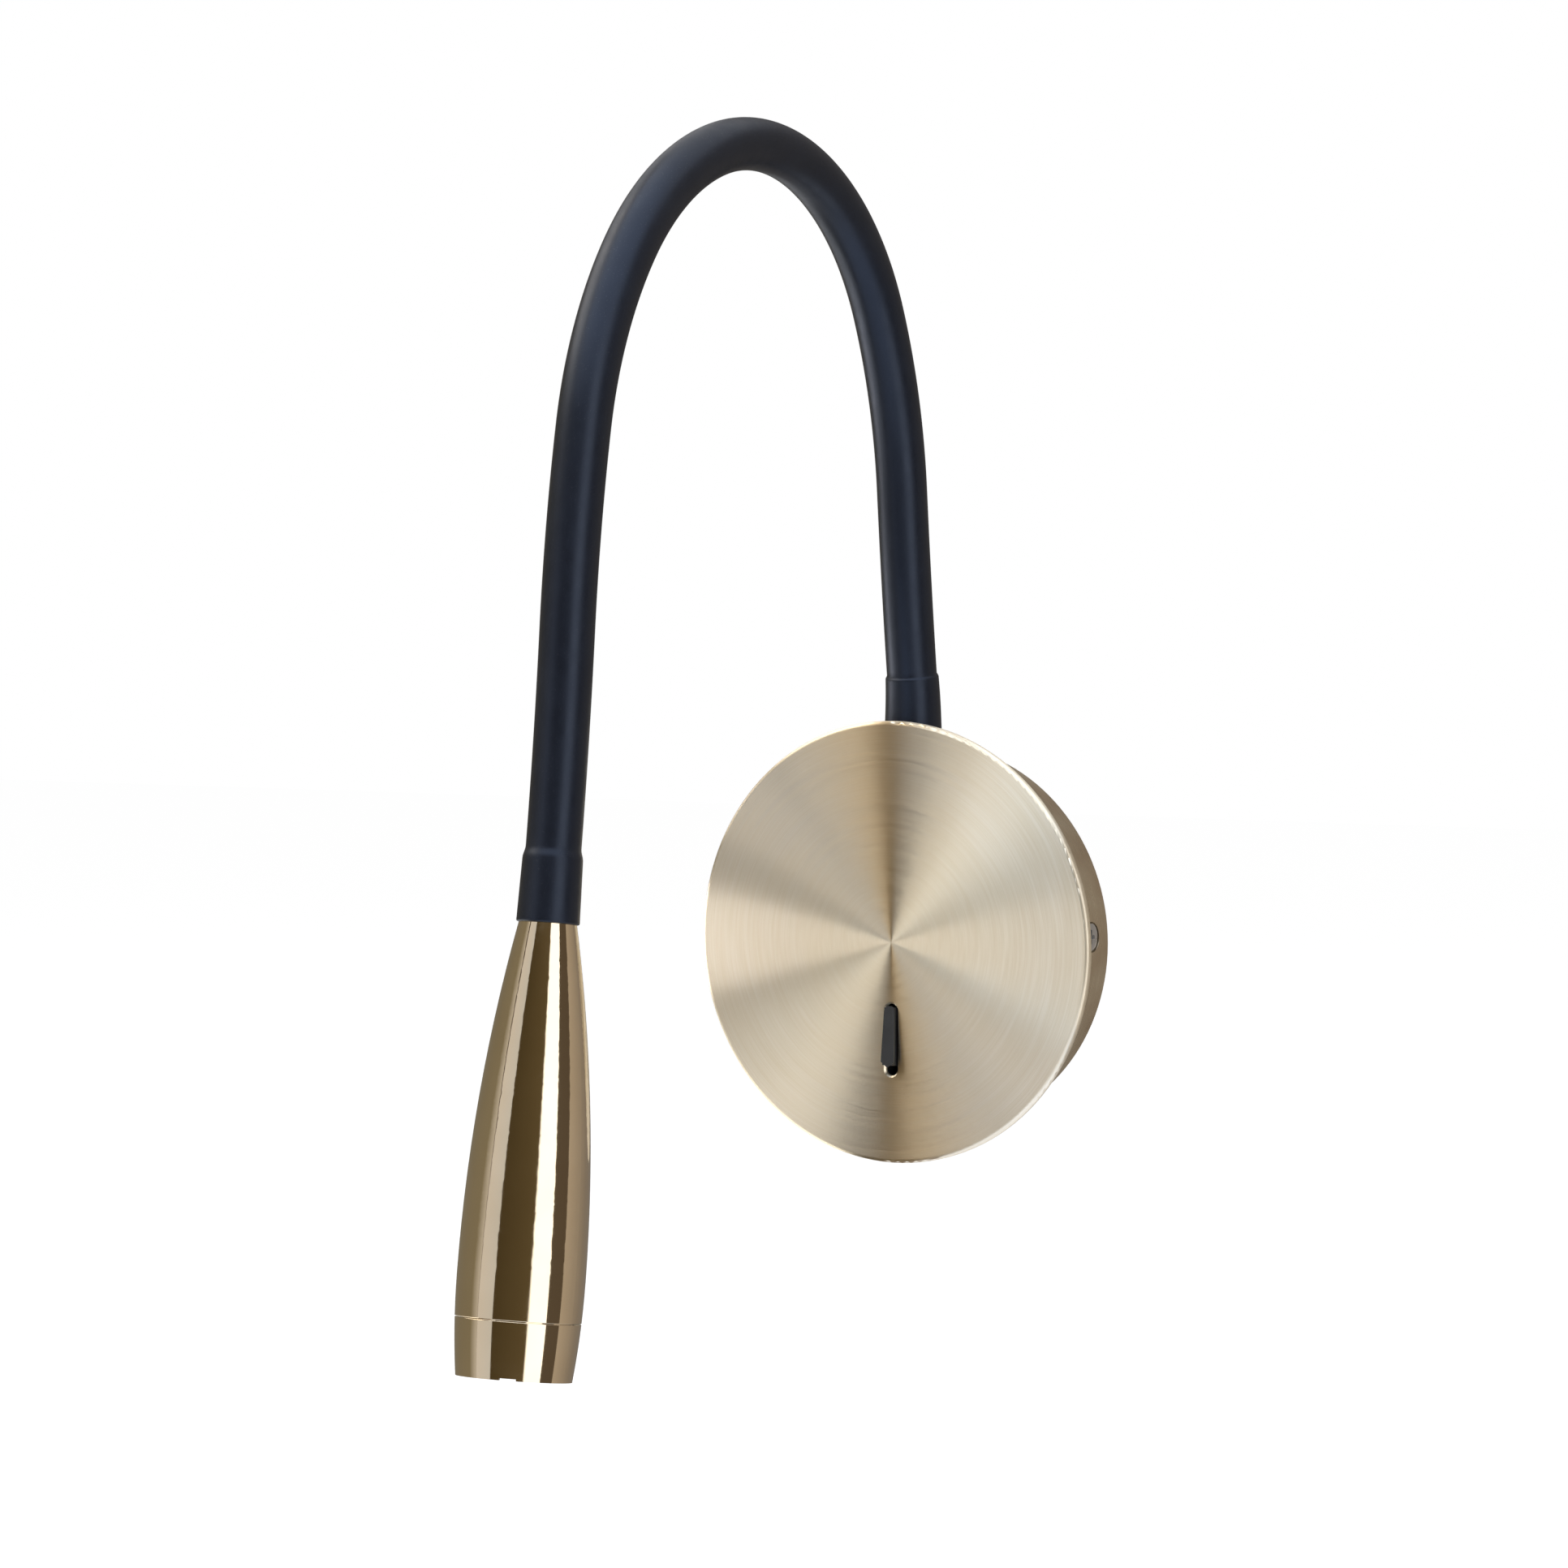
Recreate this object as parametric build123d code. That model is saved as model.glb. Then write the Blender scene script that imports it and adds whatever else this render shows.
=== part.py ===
from build123d import *
import math
import os

os.makedirs("parts", exist_ok=True)

# Bedside wall reading lamp: a round brass wall unit, a gooseneck arm in a black
# sleeve and a slim LED head. Millimetres. +Z is up, the front faces -Y and +X is
# to the right as seen from the front. The origin is the middle of the back of the
# wall unit, on the wall.

# --- Wall unit: driving dimensions ---
LAMP_DEPTH = 26.0          # wall to the front of the front plate
PLATE_D = 120.0
PLATE_T = 1.2              # sheet of the front plate
PLATE_RIM = 1.8            # depth of the plate's turned-back rim
PLATE_EDGE_R = 1.1         # rounding of the plate's front edge
DRUM_D = 105.0
DRUM_T = 1.2               # sheet of the drum
LUG_W = 10.0               # fixing lugs of the drum
LUG_ANGLES = (30.0, 150.0, 270.0)
LUG_CIRCLE_R = 46.0
LUG_END_R = 42.0

# --- Small fasteners ---
STUD_R = 1.5               # M3 studs welded to the back of the plate
NUT_FLATS = 5.5
NUT_H = 2.4
STUD_OVER_NUT = 1.2        # length of stud that shows past its nut
FIT = 0.05                 # play of a screw, pin or peg in its hole
CLEAR_HOLE = 0.2           # play of a screw in a clearance hole
RUN_GAP = 0.3              # room between pieces that move past each other
CUT = 1.0                  # how far a cut runs on past the wall it goes through

# --- Wall bracket ---
BRACKET_T = 1.5
BRACKET_H = 24.0
BRACKET_DISC_R = 21.0
CABLE_ENTRY_R = 8.0
FIXING_SPACING = 60.3      # spacing of the wall box screws
SLOT_W = 4.6
SLOT_L = 10.0
TAB_X = 47.9               # inner face of each bent tab
TAB_W = 14.0
TAB_DEPTH = 14.2
LOCK_Y = -9.2              # side lock screws, through the round holes in the drum
LOCK_Z = 2.4
LOCK_HOLE_R = 4.15
LOCK_SHANK_R = 1.9
LOCK_SHANK_L = 5.0
LOCK_HEAD_R = 3.7
LOCK_HEAD_RECESS = 0.35    # head face below the drum's surface
EARTH_Z = -15.0
EARTH_SHANK_R = 1.7
EARTH_HEAD_R = 3.4
EARTH_HEAD_H = 2.0
LOCK_RECESS = 4.0          # cross recess of the M4 screws, across

# --- Rocker switch ---
ROCKER_Z = -26.45          # middle of the slot in the plate
ROCKER_LEN = 16.9          # length of the rocker's front face
ROCKER_REACH = 13.65       # pivot to the rocker's front face
ROCKER_PROUD = 1.65        # front face in front of the plate, at mid throw
ROCKER_TILT = 4.5          # half of the throw, in degrees
ROCKER_W = 3.0             # blade of the rocker, in the slot
ROCKER_TOP_W = 3.2         # front cap, narrow end
ROCKER_END_W = 4.0         # front cap, wide end
ROCKER_CAP_T = 0.55
ROCKER_POINT = 1.5         # point at the cap's wide end
ROCKER_ROUND = 0.25        # cap's narrow end, cut back at its tip
ROCKER_INSET = 0.6         # blade shorter than its cap, at each end
ROCKER_BLADE_T = 3.2       # full-length part of the blade, behind its cap
HUB_R = 3.0
HUB_FOOT = 2.0             # blade behind the pivot
HUB_WAIST = 2.5            # blade in front of the pivot, where it starts to widen
SLOT_BEVEL = 0.45
PIVOT_PIN_R = 1.0
SWITCH_W = 14.0
SWITCH_H = 26.0
SWITCH_BACK = 3.0
EAR_X = 11.2               # stud positions of the switch's ears
EAR_H = 10.0
EAR_T = 1.6
EAR_END = 4.0              # ear past its stud
BLADE_T = 0.8
BLADE_H = 4.8
BLADE_L = 6.5
BLADE_SEAT = 2.0           # blade's length in the switch body
BLADE_Y = -12.5
BLADE_OFFSETS = (6.5, -6.5)

# --- Electrical pieces in the drum ---
DRIVER_W = 27.0
DRIVER_H = 38.0
DRIVER_T = 16.0
DRIVER_X = -30.0
DRIVER_Z = -5.0
DRIVER_CORNER_R = 2.0
TERMINAL_W = 24.0
TERMINAL_L = 20.0
TERMINAL_T = 12.0
TERMINAL_X = 29.0
TERMINAL_Z = 1.0
WAY_PITCH = 8.0
WAY_R = 2.0
WAY_SCREW_R = 1.6
WAY_SCREW_OVER = 1.2       # end of a terminal screw to the wire it holds
WAY_SCREW_SINK = 0.6       # head of a terminal screw, below the block's face
WAY_GRIP = 4.0             # length of each wire inside its terminal
NUT_POCKET = 3.8           # nut pocket of the terminal block
LEAD_R = 0.9
LEAD_BEND = 5.4
TAG_X = 30.0               # earth tag on its own stud
TAG_Z = -26.0
TAG_R = 3.4
TAG_T = 0.8
TAG_TAIL_L = 8.0
TAG_TAIL_W = 3.2
TAG_BARREL_L = 4.0
TAG_BARREL_WALL = 0.6
GRIP_W = 17.0
GRIP_H = 7.0
GRIP_Z = 36.0
GRIP_CAP_T = 2.4           # cap behind the cable
GRIP_SPLIT = 0.3           # gap between the two halves
GRIP_SCREW_X = 5.6
GRIP_SCREW_R = 1.25
GRIP_SCREW_HEAD_R = 2.3
GRIP_SCREW_HEAD_H = 1.8
GRIP_SCREW_L = 9.0
GRIP_SCREW_END = 0.5       # hole past the end of the screw
GRIP_RECESS = 2.8
PEG_R = 1.5
PEG_L = 4.0

# --- Gooseneck arm ---
ROOT_Y = -13.9             # the arm leaves the top of the drum here
ROOT_STRAIGHT = 8.0
ROOT_BEND_L = 12.0         # short lean of the arm out of its root fitting
ROOT_BEND = 7.5
STRETCH_L = 49.8           # each flexible stretch, one hinge in its middle
STRETCH_TURNS = (-2.2, 20.1, 39.7, 40.2, 35.3, 27.6, 6.5, -2.8)
TIP_L = 22.0               # straight end inside the head's ferrule
SLEEVE_R = 6.8
SLEEVE_WALL = 1.4
CORE_R = 5.1
CORE_BORE_R = 3.0
CORE_CUP_RIM = 2.4         # each cup's rim, past the middle of the ball it holds
CABLE_R = 2.3
ROOT_SLEEVE_R = 7.95       # sleeve over the root fitting, at the drum
ROOT_SLEEVE_TOP_R = 7.25
ROOT_SLEEVE_L = 19.0
TIP_SLEEVE_R = 7.75        # sleeve over the head's ferrule, at the head
TIP_SLEEVE_TOP_R = 7.4
TIP_SLEEVE_L = 15.5
ROOT_SLEEVE_STEP = 1.0     # length over which the sleeve steps in, at the drum
TIP_SLEEVE_STEP = 3.0      # and at the head
SLEEVE_FOOT = 0.35         # sleeve's end above the drum
SLEEVE_LAND = 0.5          # sleeve's wide bore past the end of each cup
FERRULE_R = 6.2            # cups that hold the gooseneck's ends
CUP_WALL_PLAY = 0.1
CUP_DEPTH = 6.0
CUP_FLOOR = 2.0
THREAD_R = 5.0
THREAD_L = 12.0
ROOT_NUT_FLATS = 14.0
ROOT_NUT_H = 3.0
ROOT_WASHER_R = 8.5
ROOT_WASHER_T = 0.8
WASHER_TEETH = 12
WASHER_TOOTH_L = 0.8
WASHER_TOOTH_W = 0.9

# --- Head, measured along its axis from its top ---
HEAD_L = 110.2
HEAD_MAX_R = 15.6
HEAD_MAX_TO_END = 24.2     # widest place of the head, from its open end
HEAD_TOP_R = 7.1
HEAD_END_R = 14.15
RING_L = 14.05             # length of the retaining ring that shows
SEAM = 0.2                 # fine joint line between shell and ring
SEAM_EDGE_R = 0.15         # rounding of both its edges
NECK_L = 12.0
NECK_BORE_R = 4.8
CAVITY_R = 13.6
CAVITY_TOP_R = 7.6
CABLE_PAST_NECK = 3.0      # cable's end in the head
SINK_L = 18.0
SINK_SHOULDER = 0.8
SINK_GROOVES = 4
SINK_GROOVE_W = 1.6
SINK_GROOVE_PITCH = 3.6
SINK_GROOVE_DEPTH = 3.5
SINK_FIRST_GROOVE = 3.0
BOARD_R = 12.0
BOARD_T = 1.4
EMITTER_R = 4.5
EMITTER_T = 1.2
EMITTER_GAP = 2.75         # face of the emitter to the back of the lens
HOLDER_WALL = 0.8
HOLDER_FLARE_L = 6.0
LENS_R = 11.4
LENS_BACK_R = 5.6
LENS_POCKET_R = 4.4        # pocket in the back of the lens, over the emitter
LENS_POCKET_END_R = 4.0
LENS_POCKET_DEPTH = 3.5
LENS_WAIST_R = 8.6         # the lens's side is steeper up to here
LENS_WAIST_AT = 7.0
LENS_L = 18.0
LENS_FLANGE_W = 1.0
LENS_FLANGE_T = 1.6
GLASS_R = 12.5
GLASS_T = 2.0
GLASS_RECESS = 2.5         # end of the ring to the face of the glass
LIP_R = 11.8
SEAL_T = 0.3               # seal squeezed between the glass and the lens
SEAL_W = 1.28
SPIGOT_L = 8.0
SPIGOT_R = 13.45
RING_BORE_R = 12.6
KEY_NOTCH_W = 4.1
KEY_NOTCH_DEPTH = 0.5
KEY_NOTCH_ANGLES = (-27.0, 153.0)
HEAD_LEAD_R = 0.65
HEAD_LEAD_X = 3.2          # wire holes through the heat sink, beside its middle
HEAD_LEAD_STRAIGHT = 12.0
HEAD_LEAD_END = 3.0        # straight end of each wire above the heat sink
HEAD_LEAD_BEND = 20.0

# --- Places worked out from the sizes above ---
plate_front = -LAMP_DEPTH
plate_back = plate_front + PLATE_T
drum_r = DRUM_D / 2
drum_in_r = drum_r - DRUM_T
root_z = drum_r
core_cup_r = CORE_R + RUN_GAP
sleeve_in_r = SLEEVE_R - SLEEVE_WALL
arm_start = ROOT_STRAIGHT + ROOT_BEND_L
arm_turns = [(ROOT_STRAIGHT, 0.0), (ROOT_BEND_L, ROOT_BEND)]
arm_turns += [(STRETCH_L, turn) for turn in STRETCH_TURNS]
arm_turns += [(TIP_L, 0.0)]
arm_end = sum(length for length, turn in arm_turns)
stretch_ends = [arm_start + STRETCH_L * i for i in range(len(STRETCH_TURNS) + 1)]
hinge_places = [arm_start + STRETCH_L * (i + 0.5) for i in range(len(STRETCH_TURNS))]
rocker_pivot_y = plate_front - ROCKER_PROUD + ROCKER_REACH
nut_spots = []             # (x, z, y of the face that each plate nut rests on)


def write(node, shape):
    export_step(shape, f"parts/{node}.step")


def group(solids):
    return Compound(children=list(solids))


def at(x, y, z):
    return Location((x, y, z))


def along_y(x, y, z):
    """A frame at (x, y, z) whose local Z points to the wall, along +Y."""
    return Plane(origin=(x, y, z), x_dir=(1, 0, 0), z_dir=(0, 1, 0))


def along_x(x, y, z, side=1):
    """A frame whose local Z points outwards, along +X or -X."""
    return Plane(origin=(x, y, z), x_dir=(0, side, 0), z_dir=(side, 0, 0))


def rod(plane, radius, length):
    """A cylinder that stands on the plane and rises along its normal."""
    return plane * Pos(0, 0, length / 2) * Cylinder(radius, length)


def block(x0, x1, y0, y1, z0, z1):
    centre = ((x0 + x1) / 2, (y0 + y1) / 2, (z0 + z1) / 2)
    return Pos(*centre) * Box(x1 - x0, y1 - y0, z1 - z0)


def hexagon(plane, flats, height):
    return plane * extrude(RegularPolygon(flats / math.sqrt(3), 6), height)


def turned(plane, outline):
    """A turned piece: (radius, distance) points spun about the plane's normal."""
    profile = make_face(Polyline([(r, 0, s) for r, s in outline], close=True))
    return plane * revolve(profile, Axis.Z)


# --- The arm's centre line ---

def arm_at(s):
    """Y, Z and heading of the arm at distance s; heading 0 is up, 90 is forward."""
    y, z, heading = ROOT_Y, root_z, 0.0
    for length, turn in arm_turns:
        part = min(s, length)
        swing = math.radians(turn * part / length)
        h = math.radians(heading)
        if abs(swing) < 1e-9:
            y -= part * math.sin(h)
            z += part * math.cos(h)
        else:
            radius = part / swing
            y += radius * (math.cos(h + swing) - math.cos(h))
            z += radius * (math.sin(h + swing) - math.sin(h))
        heading += math.degrees(swing)
        s -= part
        if s <= 1e-9:
            break
    return y, z, heading


def arm_plane(s):
    """A frame on the arm whose local Z points along it and local X along +X."""
    y, z, heading = arm_at(s)
    h = math.radians(heading)
    return Plane(origin=(0, y, z), x_dir=(1, 0, 0), z_dir=(0, -math.sin(h), math.cos(h)))


def arm_point(s):
    y, z, heading = arm_at(s)
    return (0, y, z)


def arm_path(s0, s1):
    """The centre line from s0 to s1, as the straight lines and arcs of the arm."""
    edges = []
    start = 0.0
    for length, turn in arm_turns:
        a, b = max(s0, start), min(s1, start + length)
        if b - a > 0.01:
            if turn == 0.0:
                edges.append(Line(arm_point(a), arm_point(b)))
            else:
                edges.append(ThreePointArc(arm_point(a), arm_point((a + b) / 2), arm_point(b)))
        start += length
    return Wire(edges)


def arm_rod(s0, s1, radius):
    return sweep(arm_plane(s0) * Circle(radius), path=arm_path(s0, s1))


def arm_taper(places):
    """A smooth round body through (distance, radius) places along the arm."""
    return loft([arm_plane(s) * Circle(r) for s, r in places])


def lead(points, bend, radius):
    """An insulated wire along straight runs joined by arcs."""
    path = FilletPolyline(*points, radius=bend)
    first = Vector(*points[0])
    heading = Vector(*points[1]) - first
    return sweep(Plane(origin=first, z_dir=heading) * Circle(radius), path=path)


# --- Wall bracket and its screws ---

def wall_bracket():
    bar = block(-TAB_X - BRACKET_T, TAB_X + BRACKET_T, -BRACKET_T, 0, -BRACKET_H / 2, BRACKET_H / 2)
    plate = bar + rod(along_y(0, -BRACKET_T, 0), BRACKET_DISC_R, BRACKET_T)
    tab_z = (LOCK_Z - TAB_W / 2, LOCK_Z + TAB_W / 2)
    for side in (-1, 1):
        inner, outer = sorted((side * TAB_X, side * (TAB_X + BRACKET_T)))
        plate += block(inner, outer, -TAB_DEPTH, 0, *tab_z)
        start = along_x(side * (TAB_X - CUT), LOCK_Y, LOCK_Z, side)
        plate -= rod(start, LOCK_SHANK_R + FIT, BRACKET_T + 2 * CUT)
        slot_plane = along_y(side * FIXING_SPACING / 2, -BRACKET_T, 0)
        plate -= extrude(slot_plane * SlotOverall(SLOT_L, SLOT_W), BRACKET_T)
    plate -= rod(along_y(0, -BRACKET_T, 0), CABLE_ENTRY_R, BRACKET_T)
    plate -= rod(along_y(0, -BRACKET_T, EARTH_Z), EARTH_SHANK_R + FIT, BRACKET_T)
    return plate


def cross_recess(plane, size):
    """A cross recess in a screw head, a third as deep as it is wide."""
    arm = size / 4
    depth = size / 3
    return plane * (Box(size, arm, 2 * depth) + Box(arm, size, 2 * depth))


def lock_screws():
    screws = []
    face = drum_r - LOCK_HEAD_RECESS
    head_x = TAB_X + BRACKET_T + 2 * FIT
    for side in (-1, 1):
        tip = along_x(side * (head_x - LOCK_SHANK_L), LOCK_Y, LOCK_Z, side)
        under_head = along_x(side * head_x, LOCK_Y, LOCK_Z, side)
        screw = rod(tip, LOCK_SHANK_R, LOCK_SHANK_L) + rod(under_head, LOCK_HEAD_R, face - head_x)
        screws.append(screw - cross_recess(along_x(side * face, LOCK_Y, LOCK_Z, side), LOCK_RECESS))
    return group(screws)


def earth_screw():
    face = along_y(0, -BRACKET_T - EARTH_HEAD_H, EARTH_Z)
    shank = rod(face, EARTH_SHANK_R, EARTH_HEAD_H + BRACKET_T)
    return shank + rod(face, EARTH_HEAD_R, EARTH_HEAD_H) - cross_recess(face, LOCK_RECESS)


# --- Drum and front plate ---

def lug_spot(angle):
    a = math.radians(angle)
    return LUG_CIRCLE_R * math.cos(a), LUG_CIRCLE_R * math.sin(a)


def rear_housing():
    length = LAMP_DEPTH - PLATE_T
    plane = along_y(0, plate_back, 0)
    drum = rod(plane, drum_r, length) - rod(plane, drum_in_r, length)
    for angle in LUG_ANGLES:
        lug_root = drum_in_r + DRUM_T / 2
        strip = Pos((LUG_END_R + lug_root) / 2, 0) * Rectangle(lug_root - LUG_END_R, LUG_W)
        lug = extrude(plane * Rot(0, 0, -angle) * strip, DRUM_T)
        x, z = lug_spot(angle)
        drum += lug - rod(along_y(x, plate_back, z), STUD_R + CLEAR_HOLE, DRUM_T)
        nut_spots.append((x, z, plate_back + DRUM_T))
    drum -= rod(Plane(origin=(0, ROOT_Y, root_z - THREAD_L)), THREAD_R + CLEAR_HOLE, THREAD_L + CUT)
    for side in (-1, 1):
        start = along_x(side * (drum_in_r - LOCK_HOLE_R), LOCK_Y, LOCK_Z, side)
        drum -= rod(start, LOCK_HOLE_R, LOCK_HOLE_R + DRUM_T + CUT)
    return drum


def rocker_slot_length():
    throw = math.sin(math.radians(ROCKER_TILT)) * ROCKER_REACH
    return ROCKER_LEN + 2 * throw + 2 * RUN_GAP


def front_plate():
    r = PLATE_D / 2
    plane = along_y(0, plate_front, 0)
    disc = rod(plane, r, PLATE_RIM)
    front_edge = disc.edges().filter_by(GeomType.CIRCLE).sort_by(Axis.Y)[0]
    disc = fillet(front_edge, PLATE_EDGE_R)
    plate = disc - rod(along_y(0, plate_back, 0), r - PLATE_T, PLATE_RIM)
    slot_w = ROCKER_W + 2 * RUN_GAP
    slot_plane = along_y(0, plate_front, ROCKER_Z)
    slot = SlotOverall(rocker_slot_length(), slot_w, rotation=90)
    wide = SlotOverall(rocker_slot_length() + 2 * SLOT_BEVEL, slot_w + 2 * SLOT_BEVEL, rotation=90)
    bevel = loft([slot_plane * wide, slot_plane * Pos(0, 0, SLOT_BEVEL) * slot])
    plate -= extrude(slot_plane * slot, PLATE_T)
    plate -= bevel
    for x, z, seat in nut_spots:
        plate += rod(along_y(x, plate_back, z), STUD_R, seat + NUT_H + STUD_OVER_NUT - plate_back)
    for side in (-1, 1):
        plate += rod(along_y(side * GRIP_SCREW_X, plate_back, GRIP_Z), PEG_R, PEG_L)
    return plate


def plate_nuts():
    nuts = []
    for x, z, seat in nut_spots:
        plane = along_y(x, seat, z)
        nuts.append(hexagon(plane, NUT_FLATS, NUT_H) - rod(plane, STUD_R + FIT, NUT_H))
    return group(nuts)


# --- Rocker switch ---

def switch_body():
    depth = rocker_pivot_y + HUB_R + RUN_GAP + SWITCH_BACK - plate_back
    back = plate_back + depth
    half_w, half_h = SWITCH_W / 2, SWITCH_H / 2
    body = block(-half_w, half_w, plate_back, back, ROCKER_Z - half_h, ROCKER_Z + half_h)
    ear = EAR_X + EAR_END
    body += block(-ear, ear, plate_back, plate_back + EAR_T, ROCKER_Z - EAR_H / 2, ROCKER_Z + EAR_H / 2)
    well_w = ROCKER_W / 2 + RUN_GAP
    well_h = rocker_slot_length() / 2 + SLOT_BEVEL
    body -= block(-well_w, well_w, plate_back, back - SWITCH_BACK, ROCKER_Z - well_h, ROCKER_Z + well_h)
    pin_hole = Plane(origin=(-half_w, rocker_pivot_y, ROCKER_Z), z_dir=(1, 0, 0))
    body -= rod(pin_hole, PIVOT_PIN_R + FIT / 2, SWITCH_W)
    for offset in BLADE_OFFSETS:
        body -= switch_blade(offset, half_w)
    for side in (-1, 1):
        body -= rod(along_y(side * EAR_X, plate_back, ROCKER_Z), STUD_R + CLEAR_HOLE, EAR_T)
        nut_spots.append((side * EAR_X, ROCKER_Z, plate_back + EAR_T))
    return body


def switch_lever():
    """The rocker, built square to the plate about its pivot, then tilted to rest."""
    half = ROCKER_LEN / 2
    end = half - ROCKER_INSET
    neck = ROCKER_REACH - ROCKER_BLADE_T
    shoulder = (HUB_R + HUB_FOOT) / 2 - 0.5
    web = Polygon((HUB_R, -HUB_FOOT), (shoulder, HUB_WAIST), (end, neck), (end, ROCKER_REACH),
                  (-end, ROCKER_REACH), (-end, neck), (-shoulder, HUB_WAIST), (-HUB_R, -HUB_FOOT),
                  align=None)
    side_plane = Plane(origin=(0, 0, 0), x_dir=(0, 0, 1), z_dir=(1, 0, 0))
    blade = extrude(side_plane * web, ROCKER_W / 2, both=True)
    hub = Rot(0, 90, 0) * Cylinder(HUB_R, ROCKER_W)
    narrow, wide = ROCKER_TOP_W / 2, ROCKER_END_W / 2
    tip = half - ROCKER_ROUND
    corner = narrow * 0.55
    front = Plane(origin=(0, -ROCKER_REACH, 0), x_dir=(1, 0, 0), z_dir=(0, 1, 0))
    outline = Polygon((-narrow, narrow - half), (-corner, -tip), (corner, -tip), (narrow, narrow - half),
                      (wide, half - ROCKER_POINT), (0, half), (-wide, half - ROCKER_POINT), align=None)
    cap = extrude(front * outline, ROCKER_CAP_T)
    lever = blade + hub + cap
    lever -= Rot(0, 90, 0) * Cylinder(PIVOT_PIN_R + FIT, ROCKER_W + CUT)
    return Pos(0, rocker_pivot_y, ROCKER_Z) * Rot(-ROCKER_TILT, 0, 0) * lever


def switch_pivot_pin():
    plane = Plane(origin=(-SWITCH_W / 2, rocker_pivot_y, ROCKER_Z), z_dir=(1, 0, 0))
    return rod(plane, PIVOT_PIN_R, SWITCH_W)


def switch_blade(offset, end):
    """A flat contact blade, or the slot that takes it, from its seat out to end."""
    z = ROCKER_Z + offset
    seat = SWITCH_W / 2 - BLADE_SEAT
    return block(seat, end, BLADE_Y - BLADE_T / 2, BLADE_Y + BLADE_T / 2, z - BLADE_H / 2, z + BLADE_H / 2)


blade_end = SWITCH_W / 2 - BLADE_SEAT + BLADE_L


def switch_blades():
    return group([switch_blade(offset, blade_end) for offset in BLADE_OFFSETS])


# --- Driver, terminal block, earth tag and cord grip ---

def led_driver():
    x0, x1 = DRIVER_X - DRIVER_W / 2, DRIVER_X + DRIVER_W / 2
    z0, z1 = DRIVER_Z - DRIVER_H / 2, DRIVER_Z + DRIVER_H / 2
    case = block(x0, x1, plate_back, plate_back + DRIVER_T, z0, z1)
    return fillet(case.edges().filter_by(Axis.Y), DRIVER_CORNER_R)


def way_x(i):
    return TERMINAL_X + (i - 1) * WAY_PITCH


def terminal_block():
    x0, x1 = TERMINAL_X - TERMINAL_W / 2, TERMINAL_X + TERMINAL_W / 2
    z0, z1 = TERMINAL_Z - TERMINAL_L / 2, TERMINAL_Z + TERMINAL_L / 2
    back = plate_back + TERMINAL_T
    body = block(x0, x1, plate_back, back, z0, z1)
    for i in range(3):
        centre = (way_x(i), plate_back + TERMINAL_T / 2, TERMINAL_Z)
        body -= Pos(*centre) * Cylinder(WAY_R, TERMINAL_L)
        for dz in (-TERMINAL_L / 4, TERMINAL_L / 4):
            body -= rod(along_y(way_x(i), centre[1], TERMINAL_Z + dz), WAY_SCREW_R + FIT, TERMINAL_T / 2)
    fixing_x = TERMINAL_X + WAY_PITCH / 2
    body -= rod(along_y(fixing_x, plate_back, TERMINAL_Z), STUD_R + CLEAR_HOLE, TERMINAL_T)
    half_w, half_h = NUT_FLATS / math.sqrt(3) + RUN_GAP, NUT_FLATS / 2 + CLEAR_HOLE
    seat = back - NUT_POCKET
    body -= block(fixing_x - half_w, fixing_x + half_w, seat, back, TERMINAL_Z - half_h, TERMINAL_Z + half_h)
    nut_spots.append((fixing_x, TERMINAL_Z, seat))
    return body


def terminal_screws():
    screws = []
    face = plate_back + TERMINAL_T - WAY_SCREW_SINK
    length = face - (plate_back + TERMINAL_T / 2 + LEAD_R + WAY_SCREW_OVER) + WAY_SCREW_SINK
    for i in range(3):
        for dz in (-TERMINAL_L / 4, TERMINAL_L / 4):
            screw = rod(along_y(way_x(i), face - length, TERMINAL_Z + dz), WAY_SCREW_R, length)
            slot = Pos(way_x(i), face, TERMINAL_Z + dz) * Box(2 * WAY_SCREW_R, WAY_SCREW_R, WAY_SCREW_R / 3)
            screws.append(screw - slot)
    return group(screws)


tag_y = plate_back + LEAD_R + TAG_BARREL_WALL
tag_barrel_z = TAG_Z + TAG_TAIL_L - TAG_BARREL_L / 2


def earth_tag():
    plane = along_y(TAG_X, plate_back, TAG_Z)
    half = TAG_TAIL_W / 2
    tail = block(TAG_X - half, TAG_X + half, plate_back, plate_back + TAG_T, TAG_Z, TAG_Z + TAG_TAIL_L)
    barrel = Plane(origin=(TAG_X, tag_y, tag_barrel_z))
    tag = rod(plane, TAG_R, TAG_T) + tail + rod(barrel, LEAD_R + TAG_BARREL_WALL, TAG_BARREL_L)
    nut_spots.append((TAG_X, TAG_Z, plate_back + TAG_T))
    tag -= rod(barrel, LEAD_R + FIT, TAG_BARREL_L)
    return tag - rod(plane, STUD_R + CLEAR_HOLE, TAG_T)


grip_back = ROOT_Y + CABLE_R + GRIP_CAP_T


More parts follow.
